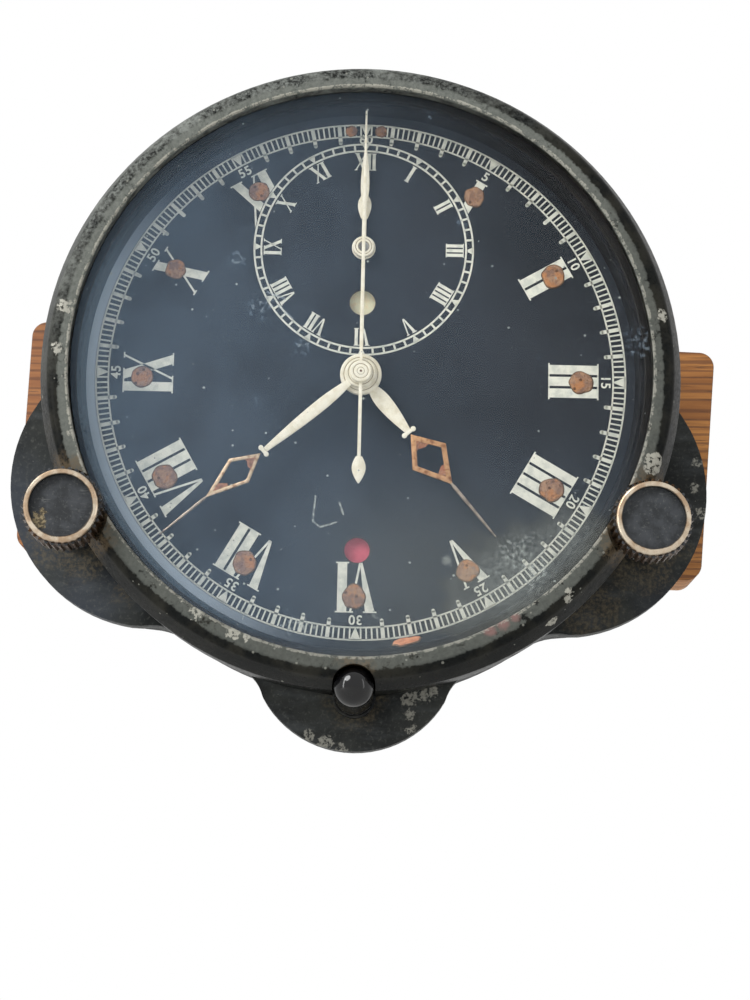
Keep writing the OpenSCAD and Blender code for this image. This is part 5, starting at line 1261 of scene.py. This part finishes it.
for name, hand in hands.items():
    length = hand["length"]
    bottom = backOf(hand["node"])
    z = bottom + hand["reach"][0]
    bm = bmesh.new()
    y0, share, w, wEnd, widest = hand["blade"]
    blade = plate(bm, leafOutline(y0, length * share, w, wEnd, widest), z, thick)
    at, half, r = hand["collar"]
    up, low = length * at, z - collar["lower"]
    near, far = (0, up - collar["half"]), (0, up + collar["half"])
    blade += bar(bm, near, far, 2 * half, low, thick + collar["proud"])
    for side in (-1, 1):
        blade += disc(bm, side * half, up, r, low, thick + collar["ballProud"], 24)
    roundTop(bm, blade, 0.07)
    turned(bm, bm.verts, hand["angle"])
    hubRing(bm, hand, bottom)
    body, stands = hand["body"], (hand["node"],)
    finishPiece(bm, name + "Hand", [creamPaint, grooveDirt], body, stands, 40)

    bm = bmesh.new()
    y0, ym, y1, halfW, rim = hand["diamond"]
    y0, ym, y1 = y0 * length, ym * length, y1 * length
    verts = skeleton(bm, y0, ym, y1, halfW, rim, z, thick)
    n0, n1, w, wEnd = hand["needle"]
    verts += plate(bm, leafOutline(n0 * length, n1 * length, w, wEnd, 0.1), z, thick)
    roundTop(bm, verts, 0.09)
    for f in bm.faces:
        f.material_index = 1 if f.calc_center_median().y > y1 - rim else 0
    turned(bm, bm.verts, hand["angle"])
    finishPiece(bm, name + "HandTip", [hand["metal"], needleMetal], body, stands, 40)

    bm = bmesh.new()
    paintWedge(bm, y0 + rim * 1.2, y0 + (ym - y0) * 0.62, halfW * 0.5, z + 0.03, thick - 0.06, 0)
    paintWedge(bm, y1 - rim * 1.6, y1 - (y1 - ym) * 0.56, halfW * 0.5, z + 0.03, thick - 0.06, 1)
    bmesh.ops.subdivide_edges(bm, edges=bm.edges, cuts=2, use_grid_fill=True)
    turned(bm, bm.verts, hand["angle"])
    finishPiece(bm, name + "HandPaint", tipPaint, body, stands, 40)

# The long seconds hand and its leaf-shaped tail
seconds = {"length": 43.3, "tail": 18.0, "hub": (1.75, 0.52), "reach": (0.15, 0.7), "thick": 0.2,
           "capR": 0.54, "capThick": 0.05, "markR": 0.2}
bottom = backOf("seconds_hand")
z = bottom + seconds["reach"][0]
bm = bmesh.new()
verts = plate(bm, leafOutline(1, seconds["length"], 0.62, 0.3, 0.1), z, seconds["thick"])
verts += bar(bm, (0, -seconds["tail"] + 3), (0, -1), 0.55, z, seconds["thick"])
tail = [(x, -y) for x, y in leafOutline(seconds["tail"] - 4.3, seconds["tail"], 2.2, 0.2, 0.42)]
verts += plate(bm, tail, z - 0.005, seconds["thick"] + 0.01)
roundTop(bm, verts, 0.05)
hubRing(bm, seconds, bottom)
finishPiece(bm, "secondsHand", [creamPaint, grooveDirt], "seconds_body",
            ("seconds_hand",), 40)
capZ = max(frontOf("seconds_arbor"), bottom + seconds["reach"][1] - 0.12)
bm = bmesh.new()
disc(bm, 0, 0, seconds["capR"], capZ, seconds["capThick"], 32)
roundTop(bm, bm.verts[:], 0.03)
finishPiece(bm, "secondsCap", creamPaint, "seconds_body", (), 40)
bm = bmesh.new()
disc(bm, 0, 0, seconds["markR"], capZ + seconds["capThick"] * 0.5, seconds["capThick"] * 0.6, 20)
finishPiece(bm, "secondsMark", burntEdge, "seconds_body", (), 40)

# Trip hands
tripHands = {
    "tripMinuteHand": {"node": "trip_minute_hand", "body": "trip_minute_body", "hub": (1.7, 0.82),
                       "reach": (0.1, 0.55), "stem": (1, 7.4, 0.66), "blade": (7.1, 17.0, 1.4, 0.24, 0.3)},
    "tripHourHand": {"node": "trip_hour_hand", "body": "trip_hour_body", "hub": (1.9, 1.37),
                     "reach": (0.1, 0.5), "stem": (1.2, 5.2, 0.72), "blade": (4.9, 9.4, 2.2, 0.3, 0.52)}}
for name, hand in tripHands.items():
    bottom = backOf(hand["node"])
    z = bottom + hand["reach"][0]
    bm = bmesh.new()
    near, far, width = hand["stem"]
    verts = bar(bm, (0, near), (0, far), width, z, 0.19)
    verts += plate(bm, leafOutline(*hand["blade"]), z, 0.2)
    roundTop(bm, verts, 0.05)
    bmesh.ops.translate(bm, verts=bm.verts, vec=trip)
    hubRing(bm, hand, bottom, trip, 0.1)
    finishPiece(bm, name, [creamPaint, grooveDirt], hand["body"], (hand["node"],), 40)
print("hands made")

# The CAD nodes that stay take their finish from their slot
finishes = {
    "case_paint": housingPaint, "wood": oak, "screw_steel": dullScrew, "brass_screw": brassScrew,
    "glass": clearGlass, "rubber": rubber, "dial_paint": dialPaint, "pip_paint": brownPaint,
    "hand_paint": creamPaint, "knob_brass": bronze, "stem_steel": steel, "gloss_black": glossBlack,
    "cream_flag": creamFlag, "red_flag": redPaint, "movement_brass": brass,
    "spring_steel": springSteel
}
for part in frame["record"]["subparts"]:
    node = frame["nodes"][part["node"]]
    node.data.materials.clear()
    node.data.materials.append(finishes[part["material_slot"]])
print("CAD nodes finished")
